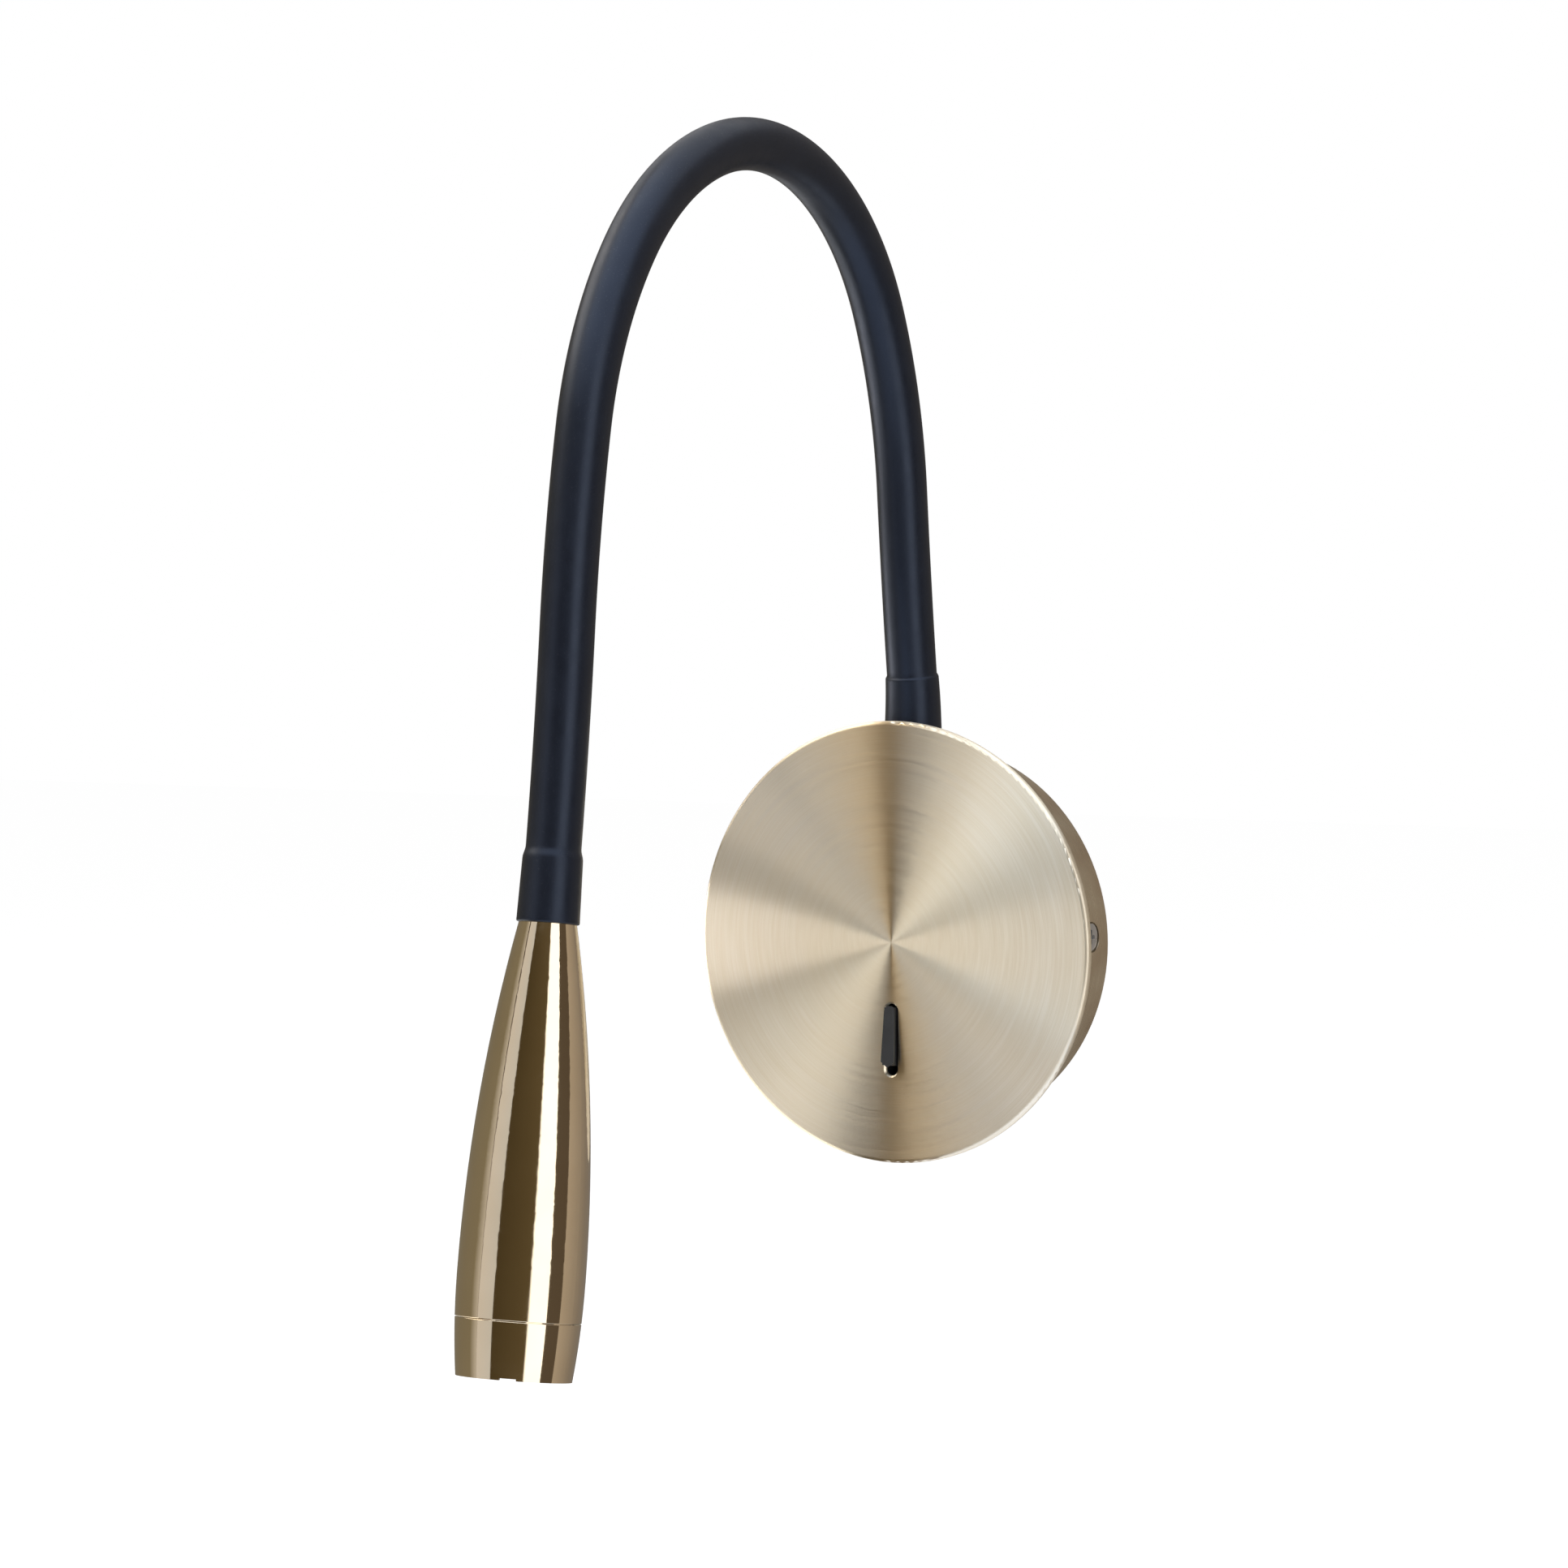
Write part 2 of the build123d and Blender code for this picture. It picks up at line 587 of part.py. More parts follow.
def cord_grip():
    """The two halves of the cable clamp: base on the plate, and its cap."""
    z0, z1 = GRIP_Z - GRIP_H / 2, GRIP_Z + GRIP_H / 2
    half = GRIP_W / 2
    base = block(-half, half, plate_back, ROOT_Y - GRIP_SPLIT / 2, z0, z1)
    cap = block(-half, half, ROOT_Y + GRIP_SPLIT / 2, grip_back, z0, z1)
    channel = Pos(0, ROOT_Y, GRIP_Z) * Cylinder(CABLE_R + FIT, GRIP_H)
    for side in (-1, 1):
        x = side * GRIP_SCREW_X
        base -= rod(along_y(x, plate_back, GRIP_Z), PEG_R + FIT, PEG_L + CLEAR_HOLE)
        base -= rod(along_y(x, grip_back - GRIP_SCREW_L, GRIP_Z), GRIP_SCREW_R + FIT, GRIP_SCREW_L)
        cap -= rod(along_y(x, ROOT_Y, GRIP_Z), GRIP_SCREW_R + CLEAR_HOLE, GRIP_SCREW_L)
    return base - channel, cap - channel


def cord_grip_screws():
    screws = []
    shank_l = GRIP_SCREW_L - GRIP_SCREW_END
    for side in (-1, 1):
        x = side * GRIP_SCREW_X
        shank = rod(along_y(x, grip_back - shank_l, GRIP_Z), GRIP_SCREW_R, shank_l)
        head = rod(along_y(x, grip_back, GRIP_Z), GRIP_SCREW_HEAD_R, GRIP_SCREW_HEAD_H)
        face = along_y(x, grip_back + GRIP_SCREW_HEAD_H, GRIP_Z)
        screws.append(shank + head - cross_recess(face, GRIP_RECESS))
    return group(screws)


# --- Wiring inside the drum ---

way_y = plate_back + TERMINAL_T / 2
way_foot = TERMINAL_Z - TERMINAL_L / 2
way_stop = way_foot + WAY_GRIP
driver_foot = DRIVER_Z - DRIVER_H / 2
driver_top = DRIVER_Z + DRIVER_H / 2
cable_foot = GRIP_Z - GRIP_H / 2 - 3.0
under_z = -44.5            # wires pass below the switch here


def live_leads():
    turn_x = blade_end + 7.5
    blade_in = (blade_end, BLADE_Y, ROCKER_Z + BLADE_OFFSETS[0])
    blade_out = (blade_end, BLADE_Y, ROCKER_Z + BLADE_OFFSETS[1])
    x, y = DRIVER_X + 4, plate_back + DRIVER_T - 4
    feed = lead([(way_x(0), way_y, way_stop), (way_x(0), way_y, way_foot - 5.0),
                 (turn_x, BLADE_Y, blade_in[2]), blade_in], 4.0, LEAD_R)
    switched = lead([blade_out, (turn_x, BLADE_Y, blade_out[2]), (turn_x, y, under_z),
                     (x, y, under_z), (x, y, driver_foot)], LEAD_BEND, LEAD_R)
    return group([feed, switched])


def neutral_lead():
    x, y, z = DRIVER_X - 3, plate_back + 7.5, under_z + 1.3
    return lead([(way_x(1), way_y, way_stop), (way_x(1) - 5.5, y, z), (x + 11, y, z),
                 (x, y, driver_foot - 9), (x, y, driver_foot)], LEAD_BEND, LEAD_R)


def earth_lead():
    return lead([(way_x(2), way_y, way_stop), (way_x(2), way_y, way_foot - 4.5),
                 (TAG_X, tag_y, TAG_Z + 12), (TAG_X, tag_y, tag_barrel_z)], 2.8, LEAD_R)


def lamp_leads():
    wires = []
    for side in (-1, 1):
        x0 = side * (LEAD_R + CLEAR_HOLE)
        x1 = DRIVER_X + 6 + side * 1.6
        z1 = (driver_top + cable_foot) / 2 - side * (LEAD_R + CLEAR_HOLE / 2)
        wires.append(lead([(x0, ROOT_Y, cable_foot), (x0, ROOT_Y, z1), (x1, ROOT_Y, z1),
                           (x1, ROOT_Y, driver_top)], LEAD_BEND, LEAD_R))
    return group(wires)


# --- Root fitting of the arm ---

def root_fitting():
    plane = Plane(origin=(0, ROOT_Y, root_z))
    outline = [(CORE_BORE_R, -THREAD_L), (THREAD_R, -THREAD_L), (THREAD_R, 0), (FERRULE_R, 0),
               (FERRULE_R, CUP_FLOOR + CUP_DEPTH), (CORE_R + CUP_WALL_PLAY, CUP_FLOOR + CUP_DEPTH),
               (CORE_R + CUP_WALL_PLAY, CUP_FLOOR), (CORE_BORE_R, CUP_FLOOR)]
    return turned(plane, outline)


washer_top = math.sqrt(drum_in_r ** 2 - ROOT_WASHER_R ** 2) - FIT


def root_washer():
    plane = Plane(origin=(0, ROOT_Y, washer_top - ROOT_WASHER_T))
    ring = rod(plane, ROOT_WASHER_R, ROOT_WASHER_T) - rod(plane, THREAD_R + CLEAR_HOLE, ROOT_WASHER_T)
    tooth = Pos(ROOT_WASHER_R, 0, ROOT_WASHER_T / 2) * Box(2 * WASHER_TOOTH_L, WASHER_TOOTH_W, ROOT_WASHER_T)
    return ring - [plane * Rot(0, 0, i * 360 / WASHER_TEETH) * tooth for i in range(WASHER_TEETH)]


def root_locknut():
    plane = Plane(origin=(0, ROOT_Y, washer_top - ROOT_WASHER_T - ROOT_NUT_H))
    return hexagon(plane, ROOT_NUT_FLATS, ROOT_NUT_H) - rod(plane, THREAD_R + FIT, ROOT_NUT_H)


# --- Gooseneck, sleeve and cable ---

def ball_end(s):
    return arm_plane(s) * Sphere(CORE_R, arc_size1=0, arc_size2=90, align=None)


def gooseneck_link(s0, s1, cup, ball):
    """A stretch of the gooseneck: a cup where it starts and a ball where it ends."""
    link = arm_rod(s0 + (CORE_CUP_RIM if cup else 0), s1, CORE_R)
    if ball:
        link += ball_end(s1)
    if cup:
        link -= arm_plane(s0) * Sphere(core_cup_r)
    far = s1 + (CORE_R + CUT if ball else 0)
    return link - arm_rod(s0, far, CORE_BORE_R)


def root_sleeve(s1):
    """First stretch of the sleeve, wider over the root fitting."""
    mid = ROOT_SLEEVE_L / 2
    mid_r = (ROOT_SLEEVE_R + ROOT_SLEEVE_TOP_R) / 2
    step_end = ROOT_SLEEVE_L + ROOT_SLEEVE_STEP
    tube = arm_taper([(SLEEVE_FOOT, ROOT_SLEEVE_R), (mid, mid_r), (ROOT_SLEEVE_L, ROOT_SLEEVE_TOP_R)])
    tube += arm_taper([(ROOT_SLEEVE_L, ROOT_SLEEVE_TOP_R), (step_end, SLEEVE_R)])
    tube += arm_rod(step_end, s1, SLEEVE_R)
    cup_end = CUP_FLOOR + CUP_DEPTH + RUN_GAP
    tube -= arm_rod(SLEEVE_FOOT, cup_end, FERRULE_R + CUP_WALL_PLAY)
    return tube - arm_rod(cup_end - SLEEVE_LAND, s1, sleeve_in_r)


def tip_sleeve(s0):
    """Last stretch of the sleeve, wider over the head's ferrule."""
    flare = arm_end - TIP_SLEEVE_L
    step_start = flare - TIP_SLEEVE_STEP
    tube = arm_rod(s0, step_start, SLEEVE_R)
    tube += arm_taper([(step_start, SLEEVE_R), (flare, TIP_SLEEVE_TOP_R)])
    tube += arm_taper([(flare, TIP_SLEEVE_TOP_R), (arm_end, TIP_SLEEVE_R)])
    cup_start = arm_end - CUP_FLOOR - CUP_DEPTH - RUN_GAP
    tube -= arm_rod(cup_start, arm_end, FERRULE_R + CUP_WALL_PLAY)
    return tube - arm_rod(s0, cup_start + SLEEVE_LAND, sleeve_in_r)


def sleeve_stretch(i):
    s0, s1 = stretch_ends[i], stretch_ends[i + 1]
    if i == 0:
        return root_sleeve(s1)
    if i == len(STRETCH_TURNS) - 1:
        return tip_sleeve(s0)
    return arm_rod(s0, s1, SLEEVE_R) - arm_rod(s0, s1, sleeve_in_r)


def cable_stretch(i):
    """Stretch i of the cable; the first starts in the drum, the last ends in the head."""
    s0, s1 = stretch_ends[i], stretch_ends[i + 1]
    if i == 0:
        below = Pos(0, ROOT_Y, (cable_foot + root_z) / 2) * Cylinder(CABLE_R, root_z - cable_foot)
        return below + arm_rod(0, s1, CABLE_R)
    if i == len(STRETCH_TURNS) - 1:
        return arm_rod(s0, arm_end, CABLE_R) + rod(head, CABLE_R, NECK_L + CABLE_PAST_NECK)
    return arm_rod(s0, s1, CABLE_R)


# --- Head ---

head = arm_plane(arm_end)
head_max_at = HEAD_L - HEAD_MAX_TO_END
ring_start = HEAD_L - RING_L
shell_end = ring_start - SEAM
glass_face = HEAD_L - GLASS_RECESS
glass_back = glass_face - GLASS_T
lens_end = glass_back - SEAL_T
lens_start = lens_end - LENS_L
emitter_at = lens_start - EMITTER_GAP - EMITTER_T
board_at = emitter_at - BOARD_T
sink_end = board_at - FIT
sink_at = sink_end - SINK_L


def arc_height(run, radius):
    return radius - math.sqrt(radius ** 2 - run ** 2)


def head_arc_radius(run, drop):
    """Radius of the arc that falls by drop over run from the widest place."""
    return (run ** 2 + drop ** 2) / (2 * drop)


upper_arc = head_arc_radius(head_max_at, HEAD_MAX_R - HEAD_TOP_R)
lower_arc = head_arc_radius(HEAD_MAX_TO_END, HEAD_MAX_R - HEAD_END_R)


def head_r(s):
    run = abs(s - head_max_at)
    return HEAD_MAX_R - arc_height(run, upper_arc if s < head_max_at else lower_arc)


def head_outline(s0, s1):
    """The head's outer curve from s0 to s1, as arcs in the turning plane."""
    stops = [s0] + ([head_max_at] if s0 < head_max_at < s1 else []) + [s1]
    arcs = []
    for a, b in zip(stops, stops[1:]):
        mid = (a + b) / 2
        arcs.append(ThreePointArc((head_r(a), 0, a), (head_r(mid), 0, mid), (head_r(b), 0, b)))
    return arcs


def turned_head_piece(s0, s1, inner, seam_at):
    """A turned piece with the head's outer curve; inner lists (radius, distance)."""
    start, end = (head_r(s0), 0, s0), (head_r(s1), 0, s1)
    back = Polyline([end] + [(r, 0, s) for r, s in inner] + [start])
    face = make_face(Wire(head_outline(s0, s1) + list(back.edges())))
    piece = revolve(face, Axis.Z)
    seam_edges = piece.edges().filter_by_position(Axis.Z, seam_at - FIT, seam_at + FIT)
    return fillet(seam_edges.sort_by(SortBy.RADIUS)[-1], SEAM_EDGE_R)


def head_shell():
    inner = [(CAVITY_R, shell_end), (CAVITY_R, sink_at), (CAVITY_R - SINK_SHOULDER, sink_at),
             (CAVITY_TOP_R, NECK_L), (NECK_BORE_R + FIT, NECK_L), (NECK_BORE_R + FIT, 0)]
    return head * turned_head_piece(0, shell_end, inner, shell_end)


def retaining_ring():
    inner = [(LIP_R, HEAD_L), (LIP_R, glass_face + FIT), (RING_BORE_R, glass_face + FIT),
             (RING_BORE_R, ring_start - SPIGOT_L), (SPIGOT_R, ring_start - SPIGOT_L), (SPIGOT_R, ring_start)]
    ring = turned_head_piece(ring_start, HEAD_L, inner, ring_start)
    notch = Box(KEY_NOTCH_W, 2 * (HEAD_END_R - LIP_R) + CUT, 2 * KEY_NOTCH_DEPTH)
    for angle in KEY_NOTCH_ANGLES:
        ring -= Rot(0, 0, angle) * Pos(0, -HEAD_END_R, HEAD_L) * notch
    return head * ring


def head_ferrule():
    top = -CUP_FLOOR - CUP_DEPTH
    outline = [(CORE_BORE_R, NECK_L), (NECK_BORE_R, NECK_L), (NECK_BORE_R, 0), (FERRULE_R, 0),
               (FERRULE_R, top), (CORE_R + CUP_WALL_PLAY, top), (CORE_R + CUP_WALL_PLAY, -CUP_FLOOR),
               (CORE_BORE_R, -CUP_FLOOR)]
    return turned(head, outline)


def at_distance(s, x=0.0):
    """A frame on the head's axis, or beside it, at distance s from the head's top."""
    return Plane(origin=(x, 0, s))


def wire_holes(start, length):
    radius = HEAD_LEAD_R + CLEAR_HOLE
    return [rod(at_distance(start, side * HEAD_LEAD_X), radius, length) for side in (-1, 1)]


def heat_sink():
    radius = CAVITY_R - FIT
    body = rod(at_distance(sink_at + FIT), radius, SINK_L - FIT)
    for i in range(SINK_GROOVES):
        foot = at_distance(sink_at + SINK_FIRST_GROOVE + i * SINK_GROOVE_PITCH)
        body -= rod(foot, radius, SINK_GROOVE_W) - rod(foot, radius - SINK_GROOVE_DEPTH, SINK_GROOVE_W)
    return head * (body - wire_holes(sink_at, SINK_L))


def led_board():
    board = rod(at_distance(board_at), BOARD_R, BOARD_T)
    return head * (board - wire_holes(board_at, BOARD_T))


def led_emitter():
    body = rod(at_distance(emitter_at), EMITTER_R, EMITTER_T)
    return head * (body - wire_holes(emitter_at, EMITTER_T))


def collimator_lens():
    flange = lens_end - LENS_FLANGE_T
    pocket_end = lens_start + LENS_POCKET_DEPTH
    outline = [(0, pocket_end), (LENS_POCKET_END_R, pocket_end), (LENS_POCKET_R, lens_start),
               (LENS_BACK_R, lens_start), (LENS_WAIST_R, lens_start + LENS_WAIST_AT),
               (LENS_R - LENS_FLANGE_W, flange), (LENS_R, flange), (LENS_R, lens_end), (0, lens_end)]
    return turned(head, outline)


def lens_holder():
    """A cone on the board whose open end carries the lens by its rim."""
    inner_r = LENS_R - LENS_FLANGE_W + CLEAR_HOLE
    rim_r = RING_BORE_R - FIT
    seat = lens_end - LENS_FLANGE_T - FIT
    outline = [(inner_r, emitter_at), (inner_r + HOLDER_WALL, emitter_at),
               (rim_r, emitter_at + HOLDER_FLARE_L), (rim_r, lens_end), (LENS_R + FIT, lens_end),
               (LENS_R + FIT, seat), (inner_r, seat)]
    return turned(head, outline)


def front_glass():
    return head * rod(at_distance(glass_back), GLASS_R, GLASS_T)


def o_ring():
    """The seal between the glass and the lens holder, squeezed flat to its gap."""
    outer_r = RING_BORE_R - FIT
    inner_r = outer_r - SEAL_W
    outline = [(inner_r, lens_end), (outer_r, lens_end), (outer_r, glass_back), (inner_r, glass_back)]
    return turned(head, outline)


def head_leads():
    wires = []
    cable_stop = NECK_L + CABLE_PAST_NECK
    wire_foot = sink_at - HEAD_LEAD_END
    for side in (-1, 1):
        x0 = side * (HEAD_LEAD_R + CLEAR_HOLE / 2)
        x1 = side * HEAD_LEAD_X
        route = [(x0, 0, cable_stop), (x0, 0, cable_stop + HEAD_LEAD_STRAIGHT),
                 (x1, 0, wire_foot - HEAD_LEAD_STRAIGHT), (x1, 0, wire_foot)]
        upper = lead(route, HEAD_LEAD_BEND, HEAD_LEAD_R)
        lower = rod(at_distance(wire_foot, x1), HEAD_LEAD_R, board_at + BOARD_T - wire_foot)
        wires.append(head * (upper + lower))
    return group(wires)


# --- Write every piece ---

write("wall_bracket", wall_bracket())
write("lock_screws", lock_screws())
write("bracket_earth_screw", earth_screw())
write("rear_housing", rear_housing())
write("switch_body", switch_body())
write("terminal_block", terminal_block())
write("earth_tag", earth_tag())
write("front_plate", front_plate())
write("plate_nuts", plate_nuts())
write("switch_lever", switch_lever())
write("switch_pivot_pin", switch_pivot_pin())
write("switch_blades", switch_blades())
write("led_driver", led_driver())
write("terminal_screws", terminal_screws())
grip_base, grip_cap = cord_grip()
write("cord_grip_base", grip_base)
write("cord_grip_cap", grip_cap)
write("cord_grip_screws", cord_grip_screws())
write("live_leads", live_leads())
write("neutral_lead", neutral_lead())
write("earth_lead", earth_lead())
write("lamp_leads", lamp_leads())
write("root_fitting", root_fitting())
write("root_washer", root_washer())
write("root_locknut", root_locknut())

write("gooseneck_root", gooseneck_link(CUP_FLOOR, hinge_places[0], cup=False, ball=True))
for i, (s0, s1) in enumerate(zip(hinge_places, hinge_places[1:])):
    write(f"gooseneck_link_{i + 1}", gooseneck_link(s0, s1, cup=True, ball=True))
write("gooseneck_tip", gooseneck_link(hinge_places[-1], arm_end - CUP_FLOOR, cup=True, ball=False))
for i in range(len(STRETCH_TURNS)):
    write(f"sleeve_{i + 1}", sleeve_stretch(i))
    write(f"lamp_cable_{i + 1}", cable_stretch(i))

write("head_ferrule", head_ferrule())
write("head_shell", head_shell())
write("heat_sink", heat_sink())
write("led_board", led_board())
write("led_emitter", led_emitter())
write("lens_holder", lens_holder())
write("collimator_lens", collimator_lens())
write("front_glass", front_glass())
write("o_ring", o_ring())
write("retaining_ring", retaining_ring())
write("head_leads", head_leads())
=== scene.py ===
import math

import bmesh
import bpy
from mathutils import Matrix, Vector


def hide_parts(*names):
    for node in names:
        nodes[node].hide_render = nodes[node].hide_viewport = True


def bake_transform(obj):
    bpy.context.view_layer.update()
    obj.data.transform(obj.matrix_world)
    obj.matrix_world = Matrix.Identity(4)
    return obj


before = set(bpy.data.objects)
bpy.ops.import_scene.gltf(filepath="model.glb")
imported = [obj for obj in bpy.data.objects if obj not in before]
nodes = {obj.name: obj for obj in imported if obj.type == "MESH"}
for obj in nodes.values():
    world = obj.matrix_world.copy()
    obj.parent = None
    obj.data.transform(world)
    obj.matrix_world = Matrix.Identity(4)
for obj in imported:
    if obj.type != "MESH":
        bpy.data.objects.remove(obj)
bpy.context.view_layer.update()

# Bedside wall reading lamp, in the frame's metres: +Z is up, the front faces -Y and +X is to the
# right as seen from the front. The wall unit's back lies on the wall, at y = 0.
MM = 0.001

# --- The arm's line, as the frame was built ---
ROOT_Y = -13.9 * MM            # the arm leaves the top of the drum here
DRUM_R = 52.5 * MM
ROOT_STRAIGHT = 8.0 * MM
ROOT_BEND_L = 12.0 * MM
ROOT_BEND = 7.5
STRETCH_L = 49.8 * MM          # each flexible stretch, one hinge in its middle
STRETCH_TURNS = (-2.2, 20.1, 39.7, 40.2, 35.3, 27.6, 6.5, -2.8)
TIP_L = 22.0 * MM
STRETCHES = len(STRETCH_TURNS)

# --- Sleeve and cable ---
SLEEVE_R = 6.8 * MM
SLEEVE_WALL = 1.4 * MM
ROOT_SLEEVE_R = 7.95 * MM      # at the drum
ROOT_SLEEVE_TOP_R = 7.25 * MM
ROOT_SLEEVE_L = 19.0 * MM
TIP_SLEEVE_R = 7.75 * MM       # at the head
TIP_SLEEVE_TOP_R = 7.4 * MM
TIP_SLEEVE_L = 15.5 * MM
SLEEVE_STEP = 1.0 * MM         # length in which the sleeve narrows, above the root fitting
TIP_STEP = 3.0 * MM            # and in which it widens, before the head
SLEEVE_FOOT = 0.35 * MM        # room between the sleeve and the drum
SLEEVE_LIP_R = 0.45 * MM       # rounding of the sleeve's cut ends
CUP_L = 8.3 * MM               # cups that hold the gooseneck's ends
CUP_BORE_R = 6.3 * MM
CABLE_R = 2.3 * MM
CABLE_FOOT_Z = 29.5 * MM
CABLE_IN_HEAD = 15.0 * MM
RING_STEP = 1.3 * MM           # spacing of the sleeve's mesh rings
RING_SIDES = 64
CABLE_SIDES = 24
ROOT_RINGS = 4                 # mesh rings over SLEEVE_STEP
TIP_RINGS = 6                  # and over TIP_STEP
LIP_STEPS = 4                  # rings over the rounding of a cut end
BORE_STEP = 0.01 * MM          # half the length of each step in the sleeve's bore

# --- Camera ---
CAMERA_AZIMUTH = 30.63         # degrees round the lamp from its front
CAMERA_ELEVATION = 2.93
CAMERA_DISTANCE = 1428.9 * MM
CAMERA_LENS = 119.9            # on a 36 mm sensor
CAMERA_SENSOR = 36.0
CAMERA_AIM = (-33.7 * MM, -26.0 * MM, 42.1 * MM)

# --- Studio ---
FLOOR_Z = -0.35
FLOOR_HALF = 6.0
FLOOR_GREY = 0.80
FLOOR_GLOW = 0.55              # lifts the lit floor to white, for the camera alone
WORLD_LIGHT = 0.55             # light of the surroundings on matt surfaces
CARD_STEP = 5.0                # degrees between the points of a card
HEAD_SPOT = (0.0, -225.0 * MM, -65.0 * MM)
PLATE_SPOT = (0.0, -26.0 * MM, 0.0)
# Cards that the metal reflects: name, kind, middle, radius in metres, two ranges and two colours.
# Each is part of a ball round the head or the plate, and its colour runs from the first to the
# second along its first range. Ranges are in degrees: azimuth and elevation for "round", the angle
# from -X and the turn about X for "side".
CARDS = (
    ("near_bounce", "round", HEAD_SPOT, 0.25, (-14, -46), (-14, 60),
     (0.68, 0.70, 0.74), (0.74, 0.72, 0.72)),
    ("left_fade", "round", HEAD_SPOT, 2.0, (-46, -62), (-12, 30),
     (0.60, 0.58, 0.55), (0.26, 0.23, 0.16)),
    ("left_wall", "round", HEAD_SPOT, 2.0, (-62, -150), (-12, 28),
     (0.25, 0.22, 0.155), (0.20, 0.18, 0.14)),
    ("upper_gap", "side", PLATE_SPOT, 2.2, (56.5, 64), (8, 115), (0.60, 0.40, 0.16), (0.03, 0.01, 0.0)),
    ("upper_left_panel", "side", PLATE_SPOT, 2.3, (8, 56.5), (30, 100),
     (2.15, 2.02, 1.86), (4.2, 3.85, 3.3)),
    ("upper_right_panel", "side", PLATE_SPOT, 2.3, (64, 170), (37, 100),
     (2.35, 2.45, 2.6), (0.85, 1.0, 1.25)),
    ("lower_gap", "side", PLATE_SPOT, 2.2, (51, 73), (-15, -115), (0.0, 0.0, 0.0), (0.20, 0.13, 0.05)),
    ("lower_left_panel", "side", PLATE_SPOT, 2.3, (8, 51), (-20, -100),
     (0.95, 0.92, 0.90), (2.6, 2.55, 2.4)),
    ("lower_right_panel", "side", PLATE_SPOT, 2.3, (73, 170), (-20, -100),
     (1.12, 1.2, 1.36), (1.0, 1.1, 1.28)),
    ("camera_flag", "round", HEAD_SPOT, 2.1, (50, -46), (-14, 36),
     (0.12, 0.09, 0.045), (0.055, 0.04, 0.018)),
    ("strip_light", "round", HEAD_SPOT, 2.0, (52, 85), (-30, 40), (2.0, 2.0, 2.0), (2.0, 2.0, 2.0)),
    ("right_flag", "round", HEAD_SPOT, 2.0, (85, 113), (-40, 40),
     (0.115, 0.09, 0.065), (0.11, 0.085, 0.06)),
    ("right_wall", "round", HEAD_SPOT, 2.0, (113, 165), (-40, 40),
     (0.47, 0.41, 0.34), (0.26, 0.23, 0.20)),
    ("back_wall", "round", HEAD_SPOT, 2.0, (165, 210), (-40, 40),
     (0.26, 0.23, 0.20), (0.20, 0.18, 0.16)),
)

# Flat cards that face the wall and light the plate, in millimetres: name, y, then x and the range in
# z at each end, and the colour. Their backs, towards the head, are clear.
FLAT_CARDS = (
    ("left_card", -130, (-235, (-54, 12)), (-1150, (-265, 60)), (7.6, 7.35, 7.35)),
    ("high_left_card", -130, (-235, (50, 120)), (-1150, (245, 590)), (2.2, 2.05, 1.9)),
    ("front_card", -120, (-12, (-40, 70)), (30, (-40, 70)), (0.87, 1.0, 1.18)),
    ("front_strip", -118, (-12, (-20, 9)), (30, (-20, 9)), (1.25, 1.32, 1.42)),
)
# Lamps that light the matt surfaces: name, azimuth and elevation in degrees, power in watts, colour.
LAMPS = (
    ("key_lamp", -45, 35, 14.0, (1.0, 0.97, 0.93)),
    ("fill_lamp", 60, 30, 10.0, (0.95, 0.98, 1.0)),
    ("back_lamp", 160, 45, 8.0, (1.0, 1.0, 1.0)),
)
LAMP_DISTANCE = 2.0
LAMP_SIZE = 1.2


def heading(azimuth, elevation):
    """The direction from the lamp towards an azimuth and elevation, in degrees."""
    a, e = math.radians(azimuth), math.radians(elevation)
    return Vector((math.sin(a) * math.cos(e), -math.cos(a) * math.cos(e), math.sin(e)))


def new_object(name, mesh):
    thing = bpy.data.objects.new(name, mesh)
    bpy.context.scene.collection.objects.link(thing)
    return thing


# --- Shader helpers ---

def add(tree, kind, **settings):
    made = tree.nodes.new("ShaderNode" + kind)
    for key, value in settings.items():
        setattr(made, key, value)
    return made


def feed(tree, socket, value):
    """Gives a socket a number, a colour or vector, or another node's output."""
    if isinstance(value, bpy.types.NodeSocket):
        tree.links.new(value, socket)
    elif isinstance(value, (tuple, list)) and len(value) == 3 and socket.type == "RGBA":
        socket.default_value = (*value, 1.0)
    else:
        socket.default_value = value


def calc(tree, operation, a, b=0.0):
    made = add(tree, "Math", operation=operation)
    feed(tree, made.inputs[0], a)
    feed(tree, made.inputs[1], b)
    return made.outputs[0]


def raised(tree, base, mask, amount):
    """A base value, raised by an amount where the mask is."""
    return calc(tree, "ADD", base, calc(tree, "MULTIPLY", mask, amount))


def vector_calc(tree, operation, a, b=(0.0, 0.0, 0.0), output=0):
    made = add(tree, "VectorMath", operation=operation)
    feed(tree, made.inputs[0], a)
    if operation == "SCALE":
        feed(tree, made.inputs["Scale"], b)
    elif operation not in ("LENGTH", "NORMALIZE"):
        feed(tree, made.inputs[1], b)
    return made.outputs[output]


def spread(tree, value, low, high, to_low=0.0, to_high=1.0):
    """Maps value from low..high to to_low..to_high, held at both ends."""
    made = add(tree, "MapRange", interpolation_type="SMOOTHSTEP")
    for socket, number in zip(made.inputs, (value, low, high, to_low, to_high)):
        feed(tree, socket, number)
    return made.outputs[0]


def tint(tree, factor, first, second):
    """Mixes two colours."""
    made = add(tree, "Mix", data_type="RGBA")
    feed(tree, made.inputs[0], factor)
    feed(tree, made.inputs[6], first)
    feed(tree, made.inputs[7], second)
    return made.outputs[2]


